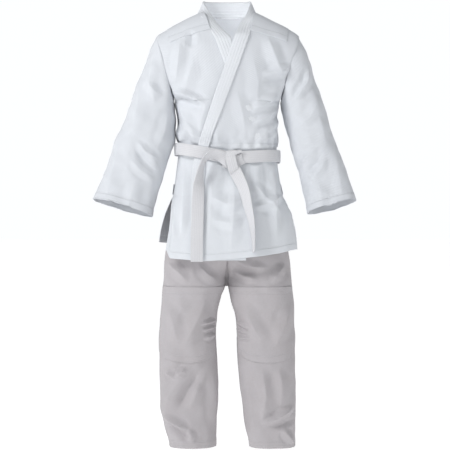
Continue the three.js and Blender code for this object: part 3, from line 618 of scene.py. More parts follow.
# %% Jacket top panels
layer = 0.0032  # how far one front lies above the other
collar_seam_left = smooth_curve([(waist_seam, -0.074), (0.20, -0.010), (0.360, 0.048),
                                 (neck_point, 0.092), (0.52, 0.10)])
collar_seam_right = smooth_curve([(waist_seam, 0.085), (0.20, 0.034), (0.360, -0.022),
                                  (neck_point, -0.084), (0.52, -0.09)])
body_columns = 150


def front_between(start_edge, end_edge, rows):
    """Grid of the front between two edges; an edge is t = 1 or -1, or a seam x(z)."""
    side = body_rows(rows)
    limits = []
    for edge in (start_edge, end_edge):
        t = np.full(len(side), float(edge) if isinstance(edge, (int, float)) else 0.0)
        if not isinstance(edge, (int, float)):
            for _ in range(15):
                z = side + ridge_climb(side) * (1 - np.abs(t) ** 1.5)
                t = edge(z) / half_width(side)
        limits.append(t)
    share = np.linspace(0, 1, body_columns)[:, None]
    t = limits[0] * (1 - share) + limits[1] * share
    return t, jacket_point(t, side[None, :] + 0 * t, "front")


def armhole_seam(points, t):
    """Distance from the armhole seam, where the panel dips a little."""
    gap = (1 - np.abs(t)) * shoulder_half
    return np.where(points[..., 2] > armpit_height, seam_groove(gap), seam_groove(gap, 0.0010))


t, grid = front_between(-1, collar_seam_right, 170)
hang(cloth_panel("front_panel_right", grid, jacket_relief(grid, "front") + armhole_seam(grid, t)),
     "jacket", "jacket_cloth", ["jacket_front_right"])
t, grid = front_between(collar_seam_left, 1, 170)
lift = layer * ease(1 - t, 0, 0.35)
hang(cloth_panel("front_panel_left", grid, jacket_relief(grid, "front") + armhole_seam(grid, t) + lift),
     "jacket", "jacket_cloth", ["jacket_front_left"])


def back_grid(rows):
    side = body_rows(rows)
    t = np.linspace(1, -1, 220)[:, None] + 0 * side
    return t, jacket_point(t, side[None, :] + 0 * t, "back")


# The neckline dips behind the neck, so the upper rows of the back end lower in the middle.
t, grid = back_grid(150)
neckline = neck_point + 0.004 - 0.003 * oval(grid[..., 0] / neck_half, 2)
over_neck = (np.abs(grid[..., 0]) < neck_half) & (grid[..., 2] > neckline)
for i in range(grid.shape[0]):
    inside = np.flatnonzero(over_neck[i])
    if len(inside):
        kept = grid[i, : inside[0]].copy()
        heights = np.linspace(kept[0, 2], neckline[i, inside[0]], grid.shape[1])
        grid[i] = np.stack([np.interp(heights, kept[:, 2], kept[:, k]) for k in range(3)], axis=-1)
        grid[i, :, 2] = heights
hang(cloth_panel("back_panel", grid, jacket_relief(grid, "back") + armhole_seam(grid, t)),
     "jacket", "jacket_cloth", ["jacket_back"])

# %% [markdown]
# ## Skirt
# The skirt of the jacket is open at both sides from the hips down. Its three panels hang from the
# belt: the wearer's left front lies on top, the right front shows beyond it, and the back panel hangs
# behind them.

# %% Skirt panels
slit_right = smooth_curve([(skirt_hem, 0.233), (-0.255, 0.223), (-0.200, 0.217), (slit_height, 0.183),
                           (waist_seam, 0.163)])
slit_left = smooth_curve([(skirt_hem, -0.203), (-0.250, -0.193), (slit_height, -0.180),
                          (waist_seam, -0.163)])


def seam_share(z):
    """1 above the slits, where the front and the back are sewn together, and 0 below their top."""
    return ease(z, slit_height - 0.02, slit_height + 0.015)


def side_width(x, z):
    """How far from the middle the skirt closes, on the side where x is."""
    seam = np.where(x < 0, -slit_left(z), slit_right(z))
    return half_width(z) * (1 - seam_share(z)) + seam * seam_share(z)


def skirt_relief(points, facing):
    """The jacket's folds, which die out towards the side seams."""
    x, z = points[..., 0], points[..., 2]
    near_seam = 1 - ease(side_width(x, z) - np.abs(x), 0, 0.03)
    return jacket_relief(points, facing) * (1 - 0.9 * seam_share(z) * near_seam)


def skirt_grid(start, end, hem, facing, rows=170, columns=170):
    """start and end are edges x(z); hem is the height of the lower edge across the panel."""
    share = np.linspace(0, 1, columns)[:, None]
    fall = np.linspace(0, 1, rows)[None, :]
    across = start(skirt_hem) * (1 - share) + end(skirt_hem) * share
    z = hem(across) * (1 - fall) + (waist_seam + 0.004) * fall
    x = start(z) * (1 - share) + end(z) * share
    t = np.clip(x / side_width(x, z), -1, 1)
    y = jacket_depth(t, z, facing)
    return np.stack([x, -y if facing == "front" else y, z], axis=-1)


hem_left = smooth_curve([(-0.08, skirt_hem - 0.002), (0.00, skirt_hem + 0.003), (0.10, skirt_hem + 0.013),
                         (0.165, skirt_hem + 0.022), (0.232, skirt_hem + 0.034)])
hem_right = smooth_curve([(-0.205, skirt_hem + 0.035), (-0.185, skirt_hem + 0.006), (-0.08, skirt_hem),
                          (0.06, skirt_hem)])
under_edge = lambda z: 0.060 + 0 * np.asarray(z, float)
collar_edge = smooth_curve([(skirt_hem, -0.079), (-0.05, -0.074), (waist_seam, -0.062)])
grid = skirt_grid(slit_left, under_edge, hem_right, "front")
hang(cloth_panel("skirt_panel_right", grid, skirt_relief(grid, "front"), sewn=("bottom", "start")),
     "jacket", "skirt_cloth", ["skirt_front_right"])
grid = skirt_grid(collar_edge, slit_right, hem_left, "front")
taper = layer * (0.35 + 0.65 * ease(slit_right(grid[..., 2]) - grid[..., 0], 0, 0.06))
hang(cloth_panel("skirt_panel_left", grid, skirt_relief(grid, "front") + taper, sewn=("bottom", "end")),
     "jacket", "skirt_cloth", ["skirt_front_left"])

back_edge = lambda side: lambda z: side * (side_width(side, z) - 0.001 * (1 - seam_share(z)))
hem_back = lambda x: skirt_hem + 0.058 - 0.010 * oval(np.asarray(x) / 0.232, 2)
grid = skirt_grid(back_edge(1), back_edge(-1), hem_back, "back", 190, 220)
slit_bend = ("back_flap", (0, 0.11, slit_height + 0.02), (0, 0.12, slit_height - 0.06))
hang(cloth_panel("skirt_panel_back", grid, skirt_relief(grid, "back"), sewn=("bottom", "start", "end")),
     "jacket", "skirt_cloth", ["skirt_back", "skirt_back_flap"], bend=slit_bend)

# %% Slit patches
for side, sign in (("right", -1), ("left", 1)):
    u = np.linspace(0, 1, 24)[:, None]
    v = np.linspace(0, 1, 24)[None, :]
    z = slit_height + 0.002 + 0.034 * v + 0 * u
    t = sign * (1 - (0.08 * u if sign > 0 else 0.08 * (1 - u)))
    y = jacket_depth(t + 0 * z, z, "back")
    grid = np.stack([t * side_width(t + 0 * z, z), y, z], axis=-1)
    hang(cloth_panel("slit_patch_" + side, grid, jacket_relief(grid, "back") + 0.0035), "jacket",
         "skirt_cloth",
         ["slit_patch_" + side])

# %% [markdown]
# ## Collar
# The collar is one long band of many layers. It starts at the hem of the wearer's left front, climbs
# over the chest, stands up round the back of the neck and runs down the right front, where the left
# front covers it. It is a ribbon between its sewn edge and its free edge.

# %% Collar band
def path(points, count, power=1.0):
    """A smooth curve through points, evenly sampled along its length."""
    points = np.array(points, float)
    steps = np.linalg.norm(np.diff(points, axis=0), axis=1) ** power
    places = np.concatenate([[0], steps.cumsum()])
    padded = np.vstack([2 * points[0] - points[1], points, 2 * points[-1] - points[-2]])
    wanted = np.linspace(0, places[-1], count)
    i = np.clip(np.searchsorted(places, wanted, side="right") - 1, 0, len(points) - 2)
    t = ((wanted - places[i]) / (places[i + 1] - places[i]))[:, None]
    before, here, there, after = padded[i], padded[i + 1], padded[i + 2], padded[i + 3]
    turn_in, turn_out = (there - before) / 2, (after - here) / 2
    cubic = here * (2 * t**3 - 3 * t**2 + 1) + turn_in * (t**3 - 2 * t**2 + t)
    return cubic + there * (3 * t**2 - 2 * t**3) + turn_out * (t**3 - t**2)


def on_front(x, z, out):
    """A place on the jacket's front, out metres clear of its base surface, folds included."""
    x, z = np.array([float(x)]), np.array([float(z)])
    place = jacket_front_at(x, z) if z[0] > waist_seam else np.stack(
        [x, -jacket_depth(x / side_width(x, z), z, "front"), z], axis=-1)
    push = jacket_relief(place[:, None, :], "front")[:, 0]
    place = place[0]
    place[1] -= out + push[0]
    return place


tip_height = neck_point + 0.043
over_out, under_out = 0.0075, 0.0035
climb = np.linspace(skirt_hem - 0.001, 0.395, 34)
free_left = smooth_curve([(skirt_hem - 0.01, -0.119), (-0.05, -0.116), (0.03, -0.096), (0.16, -0.054),
                          (0.30, -0.006), (0.377, 0.020), (0.45, 0.050), (0.52, 0.078)])
sewn_left = smooth_curve([(skirt_hem - 0.01, -0.078), (-0.05, -0.074), (0.03, -0.058), (0.16, -0.011),
                          (0.30, 0.041), (0.377, 0.068), (0.45, 0.090), (0.52, 0.105)])
free_right = smooth_curve([(0.03, 0.120), (0.20, 0.068), (0.377, 0.012), (0.45, -0.036), (0.52, -0.070)])
sewn_right = smooth_curve([(0.03, 0.076), (0.20, 0.022), (0.377, -0.040), (0.45, -0.074), (0.52, -0.10)])
round_neck = [(0.080, -0.018, 0.478), (0.0775, 0.000, tip_height), (0.066, 0.030, tip_height + 0.006),
              (0.040, 0.052, tip_height + 0.009), (0.0, 0.060, tip_height + 0.010)]
round_seam = [(0.097, 0.004, neck_point + 0.003), (0.088, 0.034, neck_point - 0.002),
              (0.055, 0.060, neck_point - 0.003), (0.0, 0.069, neck_point - 0.003)]
mirror = lambda points: [(-x - 0.003, y, z) for x, y, z in points[::-1]]
free_points = [on_front(free_left(z), z, over_out) for z in climb]
free_points += [(0.034, -0.090, 0.418), (0.060, -0.050, 0.465)] + round_neck[1:]
free_points += mirror(round_neck[1:-1]) + [(-0.052, -0.050, 0.465), (-0.024, -0.090, 0.420)]
descent = np.linspace(0.385, waist_seam + 0.01, 20)
free_points += [on_front(free_right(z), z, under_out - 0.004 * (z < 0.30)) for z in descent]
sewn_points = [on_front(sewn_left(z), z, over_out) for z in climb]
sewn_points += [on_front(0.083, 0.430, 0.005), on_front(0.094, 0.460, 0.004)] + round_seam
sewn_points += mirror(round_seam[:-1]) + [on_front(-0.090, 0.460, 0.003), on_front(-0.070, 0.430, 0.003)]
sewn_points += [on_front(sewn_right(z), z, under_out - 0.004 * (z < 0.30)) for z in descent]
free_line = path(free_points, 420, 0.5)
sewn_line = path(sewn_points, 420, 0.5)
share = np.linspace(0, 1, 32)[:, None, None]
grid = free_line[None] * (1 - share) + sewn_line[None] * share
crown = 0.0022 * oval(2 * share[..., 0] - 1, 2) + 0 * grid[..., 0]
from_stitches = (share[..., 0] * 5.0 + 0.5) % 1 - 0.5
rows_of_stitches = -0.0008 * np.exp(-(from_stitches / 0.13) ** 2) + 0 * grid[..., 0]
hang(cloth_panel("collar_band", grid, crown + rows_of_stitches, thickness=0.0042), "jacket", "collar_cloth",
     ["lapel_left", "lapel_right", "neck_band", "lapel_left_skirt"])

# %% [markdown]
# ## Shoulder reinforcements
# A second layer of cloth is sewn over each shoulder, from the front across the shoulder line to the
# back. Its two long edges are turned in and stitched, and its inner end lies under the collar.

# %% Shoulder yokes
under_collar = {"right": 0.15, "left": 0.06}
for side, sign in (("right", -1), ("left", 1)):
    # u runs along the shoulder from the neck outwards for the left, and inwards for the right
    turn = np.linspace(-1, 1, 70)
    inner = 0.385 - under_collar[side] * np.clip(-turn, 0, 1)
    share = np.linspace(0, 1, 60)[::sign, None]
    t_yoke = sign * (inner * (1 - share) + 0.84 * share)
    grid = np.zeros((60, 70, 3))
    for j, angle in enumerate(turn):
        height = armhole_middle + armhole_half * math.cos(abs(angle) * 0.92)
        facing = "front" if angle <= 0 else "back"
        grid[:, j] = jacket_point(t_yoke[:, j], np.full(60, height), facing)
    lift = 0.0014 + (layer * ease(1 - t_yoke, 0, 0.35) * ease(-turn, -0.25, 0.0) if sign > 0 else 0)
    below = np.stack([
        jacket_relief(grid[:, j : j + 1], "front" if angle <= 0 else "back")[:, 0]
        for j, angle in enumerate(turn)
    ], axis=1)
    hang(cloth_panel("shoulder_yoke_" + side, grid, below + lift, sewn=("bottom", "top"),
                     thickness=0.0010, turned=0),
         "jacket", "jacket_cloth", ["shoulder_yoke_" + side])

# %% [markdown]
# ## Sleeves
# Each sleeve is a wide tube from the armhole to the cuff. Its two outlines, as seen from the front,
# and its depth give each ring. Near the armhole it follows the body, and further down the arm. The
# cuff is turned in, which shows inside the opening.

# %% Sleeve surface
def outline(points):
    """x and z along an edge, as functions of the share of its length."""
    points = np.array(points, float)
    places = np.concatenate([[0], np.hypot(*np.diff(points, axis=0).T).cumsum()])
    return [smooth_curve(list(zip(places / places[-1], points[:, k]))) for k in (0, 1)]


sleeve_edges = {
    "right": (
        [(-shoulder_half, shoulder_height), (-0.268, 0.330), (-0.315, 0.197), (-0.358, 0.090),
         (-0.405, -0.040), (-0.442, -0.146)],
        [(-armpit_half, armpit_height), (-0.172, 0.100), (-0.175, 0.050), (-0.192, 0.010),
         (-0.213, -0.063), (-0.249, -0.200)],
    ),
    "left": (
        [(armpit_half, armpit_height), (0.186, 0.120), (0.208, 0.040), (0.233, -0.040), (0.256, -0.140),
         (0.265, -0.192)],
        [(shoulder_half, shoulder_height), (0.268, 0.335), (0.312, 0.200), (0.345, 0.090),
         (0.388, -0.040), (0.428, -0.148)],
    ),
}
sleeve_folds = {
    "right": fold_lines(
        (16, 8, -245, 330, -255, 240, -235, 160),
        (20, 7, -290, 230, -300, 130, -340, 20),
        (11, 10, -300, 50, -268, 10, -222, -20),
        (10, -8, -305, 20, -272, -20, -228, -60),
        (12, 9, -320, -10, -285, -50, -236, -85),
        (14, 8, -195, 150, -205, 80, -235, 10),
        (18, 6, -360, 40, -375, -50, -400, -150),
        (18, 6, -300, -80, -315, -140, -330, -190),
        (12, 7, -205, 190, -235, 205, -262, 240),
    ),
    "left": fold_lines(
        (12, 11, 272, 300, 262, 240, 215, 170),
        (10, -9, 262, 290, 245, 235, 205, 180),
        (14, 8, 300, 180, 268, 120, 225, 85),
        (18, 7, 280, 240, 300, 130, 330, 20),
        (11, 9, 300, 30, 268, 0, 238, -30),
        (10, -7, 318, 10, 282, -35, 250, -60),
        (12, 8, 330, -10, 295, -60, 262, -90),
        (16, 6, 350, 40, 360, -50, 378, -150),
        (16, 6, 300, -90, 305, -140, 312, -185),
    ),
}


def sleeve_grid(side, turns, shares):
    minus, plus = (outline(points) for points in sleeve_edges[side])
    angle = 2 * math.pi * turns[:, None]
    s = shares[None, :]
    power = 2 / 2.4
    across = fuller(np.cos(angle), power)
    deep = fuller(np.sin(angle), power)
    low_side = np.stack([minus[0](s), minus[1](s)])
    high_side = np.stack([plus[0](s), plus[1](s)])
    middle, reach = (low_side + high_side) / 2, (low_side - high_side) / 2
    depth = armhole_depth * (1 - s) + 0.058 * s
    forward = -0.045 * s**1.3
    x = middle[0] + reach[0] * across
    y = forward - depth * deep
    z = middle[1] + reach[1] * across - 0.010 * ease(s, 0.7, 1) * -deep
    return np.stack([x, y, z + 0 * x], axis=-1)


sleeve_turns = np.linspace(0, 1, 181)
for side, sign in (("right", -1), ("left", 1)):
    shares = np.linspace(1, 0, 240)
    grid = sleeve_grid(side, sleeve_turns, shares)
    relief = soft_noise(grid, 0.085, 0.006, 31.0 + sign, (1.4, 1.0, 0.8))
    relief = relief + soft_noise(grid, 0.035, 0.0028, 50.0 + sign)
    front = ease(-grid[..., 1] - 0.045 * shares**1.3, -0.02, 0.02)
    for line, width, height in sleeve_folds[side]:
        relief = relief + 0.75 * fold_height(grid, line, width, height) * front
        higher = [(x, z + 0.03) for x, z in line]
        relief = relief + 0.6 * fold_height(grid, higher, width * 1.2, height) * (1 - front)
    relief = relief * ease(1 - shares, 1, 0.90) + seam_groove(shares * 0.6, 0.0022, 0.007)
    name = "sleeve_" + side
    shoulder_middle = (sign * (shoulder_half + armpit_half) / 2, 0, armhole_middle)
    upper_arm = (shoulder_middle[0] + sign * 0.125, 0, armhole_middle - 0.034)
    hang(cloth_panel(name, grid, relief, ring=True, sewn=("bottom",)), "jacket", "jacket_cloth",
         [name + "_front", name + "_back", "cuff_hem_" + side], bend=(name, shoulder_middle, upper_arm))

# %% [markdown]
# ## Belt
# The belt is a long flat tape of several layers with rows of stitching. It goes once round the waist
# and is tied in front. Every length of it is a ribbon: a listed line of centres, and at each centre
# the direction in which the tape's width lies. Round the waist and in the hanging ends the ribbon has the
# tape's full width. The knot's three ribbons are drawn 3 to 6 mm narrower, one of them down to a point,
# and are declared with the tape's width all the same.

# %% Ribbon builder
belt_width = 0.040
tape = 0.0038  # thickness of the belt's layers together


def ribbon(name, centres, across, width=belt_width, count=200, thickness=tape, narrowing=None):
    centre_line = path(centres, count)
    if len(across) > 1:
        side = path(across, count, 0.0001)
    else:
        side = np.repeat(np.array(across, float), count, axis=0)
    forward = np.gradient(centre_line, axis=0)
    forward /= np.linalg.norm(forward, axis=1, keepdims=True)
    side = side - forward * (side * forward).sum(axis=1, keepdims=True)
    side /= np.linalg.norm(side, axis=1, keepdims=True)
    share = np.linspace(-0.5, 0.5, 42)[:, None, None]
    spread = width * (np.ones(count) if narrowing is None else narrowing(np.linspace(0, 1, count)))
    grid = centre_line[None] + side[None] * share * spread[None, :, None]
    rows = -0.0005 * np.exp(-(((((share[..., 0] + 0.5) * 7 + 0.5) % 1) - 0.5) / 0.16) ** 2)
    relief = rows + 0.0014 * oval(2 * share[..., 0], 2) + soft_noise(grid, 0.06, 0.0012, 77.0)
    return cloth_panel(name, grid, relief, thickness=thickness)


def sewn_belt(made, nodes, tail=None):
    hang(made, "jacket", "belt_cloth", nodes, bend=tail)


# %% Belt round the waist
turns = np.linspace(0.262, -0.752 + 0.015, 61) * 2 * math.pi
belt_out = 0.0135
power = 2 / 2.6
round_waist = []
for angle in turns:
    x = -(0.163 + belt_out) * fuller(math.cos(angle), power)
    deep = abs(math.sin(angle)) ** power
    y = -(0.108 + belt_out) * deep if math.sin(angle) > 0 else (0.098 + belt_out) * deep
    facing_front = math.sin(angle) > 0
    behind_height = 0.0095 - 0.0115 * x / 0.16
    z = float(belt_height(x)) if facing_front else behind_height
    round_waist.append((x, y, z))
sewn_belt(ribbon("belt_round_waist", round_waist, [(0, 0.02, 1)], count=380),
          ["belt_back", "belt_front_right", "belt_front_left"])

# %% [markdown]
# ## Knot and tails
# At the knot one end is wrapped over all the layers from top to bottom, and both ends come out from
# under it. The wearer's right end leaves it sideways, arches over the belt with its face turned up,
# and then falls flat. The left end slips down from under the wrap and turns nearly edge-on.

# %% Knot
wrap_centres = [
    (0.0040, -0.114, 0.0060), (0.0065, -0.127, 0.0035), (0.0100, -0.1365, -0.0100),
        (0.0150, -0.1395, -0.0300),
    (0.0205, -0.1370, -0.0500), (0.0235, -0.1280, -0.0575), (0.0220, -0.1160, -0.0540),
]
sewn_belt(ribbon("knot_wrap", wrap_centres, [(0.90, 0.02, 0.42)], width=0.034, count=70), ["belt_knot"])
top_centres = [(-0.012, -0.1280, -0.020), (0.004, -0.1330, -0.006), (0.024, -0.1330, 0.004),
               (0.046, -0.1265, 0.010)]
point_shape = lambda s: 1 - 0.80 * ease(s, 0.25, 1)
sewn_belt(ribbon("knot_top", top_centres, [(-0.45, -0.10, 0.9)], width=0.036, count=60,
                 narrowing=point_shape),
          [])
under_centres = [(-0.014, -0.1215, -0.024), (0.012, -0.1265, -0.028), (0.036, -0.1245, -0.020),
                 (0.050, -0.1215, -0.014)]
sewn_belt(ribbon("knot_under", under_centres, [(0.1, 0, 1)], width=0.037, count=60), [])

# %% Right tail
right_route = [
    (0.006, -0.1290, -0.026), (-0.016, -0.1340, -0.010), (-0.044, -0.1400, 0.000), (-0.068, -0.1450, -0.012),
    (-0.083, -0.1450, -0.042), (-0.091, -0.1430, -0.085), (-0.095, -0.1450, -0.150),
        (-0.0975, -0.1500, -0.240),
    (-0.0985, -0.1560, -0.300), (-0.0985, -0.1580, -0.3485),
]
right_across = [
    (-0.10, 0.25, 1.0), (-0.15, -0.60, 0.75), (-0.20, -0.90, 0.32), (-0.50, -0.80, 0.05),
        (-0.86, -0.40, -0.10),
    (-1.0, -0.12, 0), (-1.0, 0.0, 0), (-1.0, 0.02, 0), (-1.0, 0.0, 0), (-1.0, -0.02, 0),
]
sewn_belt(ribbon("tail_right_ribbon", right_route, right_across, count=240),
          ["belt_tail_bend", "belt_tail_right"],
          tail=("tail_right", (-0.08, -0.14, -0.020), (-0.09, -0.14, -0.060)))

# %% Left tail
left_route = [
    (0.014, -0.1290, -0.028), (0.024, -0.1320, -0.052), (0.040, -0.1370, -0.085), (0.054, -0.1430, -0.120),
    (0.067, -0.1490, -0.173), (0.0765, -0.1560, -0.220), (0.0820, -0.1630, -0.270),
        (0.0825, -0.1660, -0.3175),
]
left_across = [
    (-0.95, 0.10, -0.35), (-0.88, 0.25, -0.35), (-0.82, 0.50, -0.25), (-0.75, 0.62, -0.20),
    (-0.62, 0.78, -0.10), (-0.42, 0.90, -0.05), (-0.24, 0.97, 0), (-0.16, 0.98, 0),
]
sewn_belt(ribbon("tail_left_ribbon", left_route, left_across, count=210), ["belt_tail_left"],
          tail=("tail_left", (0.026, -0.13, -0.044), (0.036, -0.13, -0.080)))

# %% [markdown]
# ## Trousers
# The trousers have a front and a back panel for each leg. Above the crotch a panel is half of the hips,
# and below it half of a tube. A narrow gusset runs between the legs.

# %% Trouser surface
crotch = -0.424
leg_outer = {
    "right": smooth_curve([(0, -0.150), (-0.120, -0.158), (-0.200, -0.176), (-0.307, -0.205),
                           (-0.457, -0.217), (-0.583, -0.229), (-0.700, -0.229), (-0.830, -0.226),
                           (-0.900, -0.214), (trouser_hem, -0.197)]),
    "left": smooth_curve([(0, 0.150), (-0.120, 0.158), (-0.200, 0.176), (-0.317, 0.206), (-0.457, 0.218),
                          (-0.597, 0.225), (-0.830, 0.231), (trouser_hem, 0.229)]),
}
leg_inner = {
    "right": smooth_curve([(crotch, -0.004), (-0.467, -0.022), (-0.527, -0.034), (-0.60, -0.036),
                           (-0.75, -0.033), (trouser_hem, -0.036)]),
    "left": smooth_curve([(crotch, 0.000), (-0.470, 0.009), (-0.547, 0.030), (-0.667, 0.032),
                          (-0.807, 0.045), (-0.910, 0.057), (trouser_hem, 0.074)]),
}
leg_depth = smooth_curve([(0, 0.090), (-0.120, 0.097), (-0.200, 0.103), (-0.330, 0.104), (-0.457, 0.096),
                          (-0.583, 0.088), (-0.830, 0.080), (trouser_hem, 0.075)])
leg_folds = {
    "right": fold_lines(
        (14, 8, -198, -353, -160, -385, -125, -423),
        (13, 7, -100, -350, -70, -390, -30, -420),
        (7, 8, -90, -556, -35, -545),
        (6, 6, -85, -578, -35, -566),
        (7, 8, -80, -607, -35, -590),
        (8, 7, -208, -718, -172, -737),
        (8, 10, -172, -729, -134, -698),
        (20, 10, -105, -667, -172, -763, -218, -860),
        (14, -6, -70, -680, -130, -770, -180, -870),
        (11, 12, -218, -856, -170, -886, -122, -907),
        (11, 9, -125, -900, -118, -950),
        (10, -6, -200, -880, -150, -925, -110, -935),
        (22, 9, -70, -470, -110, -560, -150, -640),
        (18, 7, -190, -480, -175, -560, -155, -640),
        (14, 6, -50, -700, -46, -800, -44, -920),
        (20, 7, -92, -740, -125, -850),
    ),
    "left": fold_lines(
        (11, 10, 8, -368, 55, -398, 105, -413),
        (12, 7, 20, -345, 80, -366, 140, -370),
        (14, 7, 192, -353, 168, -385, 142, -425),
        (7, 8, 32, -549, 74, -573),
        (6, 6, 30, -572, 70, -592),
        (7, 7, 32, -600, 80, -606),
        (20, 10, 115, -690, 128, -797, 113, -893),
        (11, 12, 110, -893, 165, -868, 226, -830),
        (10, -6, 150, -905, 190, -890, 226, -870),
        (10, 9, 183, -905, 203, -935, 218, -960),
        (17, 8, 168, -693, 178, -770, 176, -840),
        (18, 8, 208, -480, 185, -560, 156, -635),
        (20, 8, 56, -480, 80, -550, 118, -620),
        (14, 7, 72, -740, 80, -830, 88, -930),
    ),
}


def leg_grid(side, facing, shares, heights):
    u, z = shares[:, None], heights[None, :]
    outer, inner, depth = leg_outer[side](z), leg_inner[side](z), leg_depth(z)
    bend = 2 / 2.4
    angle = math.pi * u
    ring_x = (outer + inner) / 2 + (outer - inner) / 2 * fuller(np.cos(angle), bend)
    ring_y = depth * np.abs(np.sin(angle)) ** bend
    hip_x = outer * np.cos(angle / 2) ** bend
    hip_y = depth * np.sin(angle / 2) ** bend
    split = ease(z, crotch - 0.012, -0.33)
    x = ring_x * (1 - split) + hip_x * split
    y = ring_y * (1 - split) + hip_y * split
    back = 0.024 * (1 - ease(z, trouser_hem, crotch))
    return np.stack([x, (-y if facing == "front" else y) + back, z + 0 * x], axis=-1)


def leg_relief(grid, side, facing):
    total = soft_noise(grid, 0.11, 0.006, 60.0 + (side == "left"), (1.5, 1, 0.7))
    total = total + soft_noise(grid, 0.040, 0.0030, 80.0 + (side == "left"), (1.2, 1, 0.8))
    for line, width, height in leg_folds[side]:
        if facing == "front":
            total = total + 1.35 * fold_height(grid, line, width, height)
        else:
            total = total + fold_height(grid, [(x, z - 0.035) for x, z in line], width * 1.2, height)
    hidden = ease(grid[..., 2], -0.20, -0.34)
    return total * hidden


# %% Leg panels
panel_shares = np.linspace(0, 1, 110)
panel_heights = np.linspace(trouser_hem, -0.036, 290)
for side in ("right", "left"):
    for facing in ("front", "back"):
        # the panel's start and end are swapped where needed, so that its face looks outwards
        outwards = (side == "right") == (facing == "front")
        shares = panel_shares if outwards else panel_shares[::-1]
        grid = leg_grid(side, facing, shares, panel_heights)
        relief = leg_relief(grid, side, facing)
        seams = np.minimum(shares, 1 - shares)[:, None] * 0.28
        relief = relief * (0.3 + 0.7 * ease(seams, 0, 0.02)) + seam_groove(seams, 0.0022, 0.0055)
        nodes = [f"leg_{side}_{facing}"] + ([f"seat_{facing}"] if side == "right" else [])
        nodes += [f"leg_hem_{side}"] if facing == "back" else []
        hang(cloth_panel(f"leg_panel_{side}_{facing}", grid, relief, sewn=("bottom",)), "trousers",
             "trouser_cloth", nodes, bend=("leg_" + side, (0, 0, -0.235), (0, 0, -0.430)))

# %% Knee patches
patch_top, patch_low = high("knee_patch_right", "Z"), low("knee_patch_right", "Z")
for side in ("right", "left"):
    shares = np.linspace(0.07, 0.93, 90) if side == "right" else np.linspace(0.93, 0.07, 90)
    rise = np.linspace(0, 1, 130)
    bottoms = patch_low + 0.008 - 0.036 * np.sin(math.pi * shares) ** 1.5
    grid = np.zeros((90, 130, 3))
    for i, share in enumerate(shares):
        heights = bottoms[i] + (patch_top - bottoms[i]) * rise
        grid[i] = leg_grid(side, "front", np.array([share]), heights)[0]
    patch = cloth_panel("knee_patch_cloth_" + side, grid, leg_relief(grid, side, "front") + 0.0020,
                        sewn=("bottom", "top"), thickness=0.0012, turned=0.0002)
    hang(patch, "leg_" + side, "trouser_cloth", ["knee_patch_" + side])

# %% Waistband, loops and gusset
turns = np.linspace(0, 1, 181)
angle = 2 * math.pi * turns[:, None]
band = np.linspace(-0.039, 0.0, 30)[None, :]
across = fuller(np.cos(angle), 2 / 2.6)
deep = fuller(np.sin(angle), 2 / 2.6)
grid = np.stack([-0.151 * across + 0 * band, -0.091 * deep + 0 * band, band + 0 * angle], axis=-1)
gathers = soft_noise(grid * np.array([1, 1, 0.3]), 0.018, 0.0028, 90.0)
hang(cloth_panel("waistband_cloth", grid, gathers, ring=True, sewn=("bottom",)),
     "trousers", "trouser_cloth", ["waistband_front", "waistband_back"])
for side, sign in (("right", -1), ("left", 1)):
    lowest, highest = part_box("tie_loop_" + side)
    middle = (lowest + highest) / 2
    loop_route = [(middle.x, middle.y + 0.0005, highest.z), (middle.x, lowest.y - 0.004, middle.z),
                  (middle.x, middle.y + 0.0005, lowest.z)]
    loop = ribbon("tie_loop_cloth_" + side, loop_route, [(-1, 0, 0)], width=0.012, count=30,
                  thickness=0.0012)
    hang(loop, "trousers", "trouser_cloth", ["tie_loop_" + side])
down = np.linspace(-0.325, crotch - 0.014, 60)
edges = {}
for side in ("right", "left"):
    front_edge = leg_grid(side, "front", np.array([1.0]), down)[0]
    back_edge_line = leg_grid(side, "back", np.array([1.0]), down[::-1])[0]
    edges[side] = np.vstack([front_edge, back_edge_line[1:]])
share = np.linspace(0, 1, 16)[:, None, None]
overlap = np.array([0.007, 0, 0])
grid = (edges["left"] + overlap)[None] * (1 - share) + (edges["right"] - overlap)[None] * share
grid = grid + np.array([0, 0, 0.004])
grid[..., 1] *= 0.965
hang(cloth_panel("gusset_cloth", grid), "trousers", "trouser_cloth", ["crotch_gusset"])

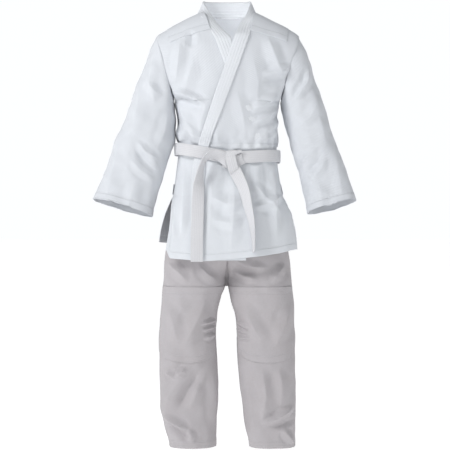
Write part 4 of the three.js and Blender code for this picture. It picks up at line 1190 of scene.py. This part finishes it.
# %% [markdown]
# ## Studio
# The uniform hangs a little above a wide pale floor. The surroundings are white near the horizon, so
# that every side view has a plain pale background, and dimmer above. One large soft lamp stands high
# on the left, a second in front reaches into the neck opening, and a weak one fills the right. A small
# one just inside the collar lights the inside of the back.

# %% Floor
bpy.ops.object.select_all(action="DESELECT")
floor_height = trouser_hem - 0.035
bpy.ops.mesh.primitive_circle_add(vertices=64, radius=60, fill_type="NGON", location=(0, 0, floor_height))
floor = bpy.context.object
floor.name = "studio_floor"
paper = bpy.data.materials.new("studio paper")
paper.use_nodes = True
paper_shader = paper.node_tree.nodes["Principled BSDF"]
paper_shader.inputs["Base Color"].default_value = (0.60, 0.60, 0.60, 1)
paper_shader.inputs["Roughness"].default_value = 0.9
paper_shader.inputs["Emission Color"].default_value = (1, 1, 1, 1)
paper_shader.inputs["Emission Strength"].default_value = 0.82
floor.data.materials.append(paper)
print("floor at", round(floor_height, 3))

# %% Lights
def soft_lamp(name, place, size, power, target=(0, 0, -0.25)):
    data = bpy.data.lights.new(name, "AREA")
    data.size = size
    data.energy = power
    lamp = bpy.data.objects.new(name, data)
    lamp.location = place
    aim = Vector(target) - Vector(place)
    lamp.rotation_euler = aim.to_track_quat("-Z", "Y").to_euler()
    lamp.visible_camera = False
    bpy.context.scene.collection.objects.link(lamp)


soft_lamp("key", (-2.7, -2.2, 2.1), 1.2, 84)
soft_lamp("fill", (2.8, -3.2, 0.4), 2.4, 2)
soft_lamp("front", (0.3, -4.2, 2.0), 1.0, 10)
soft_lamp("inside", (0, -0.050, 0.330), 0.10, 0.22, target=(0, 0.080, 0.450))
world = bpy.data.worlds.new("studio")
world.use_nodes = True
sky = world.node_tree.nodes["Background"]
sky.inputs["Color"].default_value = (0.97, 0.985, 1, 1)
direction = connect(world.node_tree, "ShaderNodeTexCoord")["Generated"]
climb = connect(world.node_tree, "ShaderNodeSeparateXYZ", Vector=direction)[2]
dimmer = connect(world.node_tree, "ShaderNodeMapRange", None, Value=climb, From_Min=0.22, From_Max=0.40,
                 To_Min=1.02, To_Max=0.20)[0]
world.node_tree.links.new(dimmer, sky.inputs["Strength"])
bpy.context.scene.world = world
bpy.context.scene.view_settings.view_transform = "Standard"
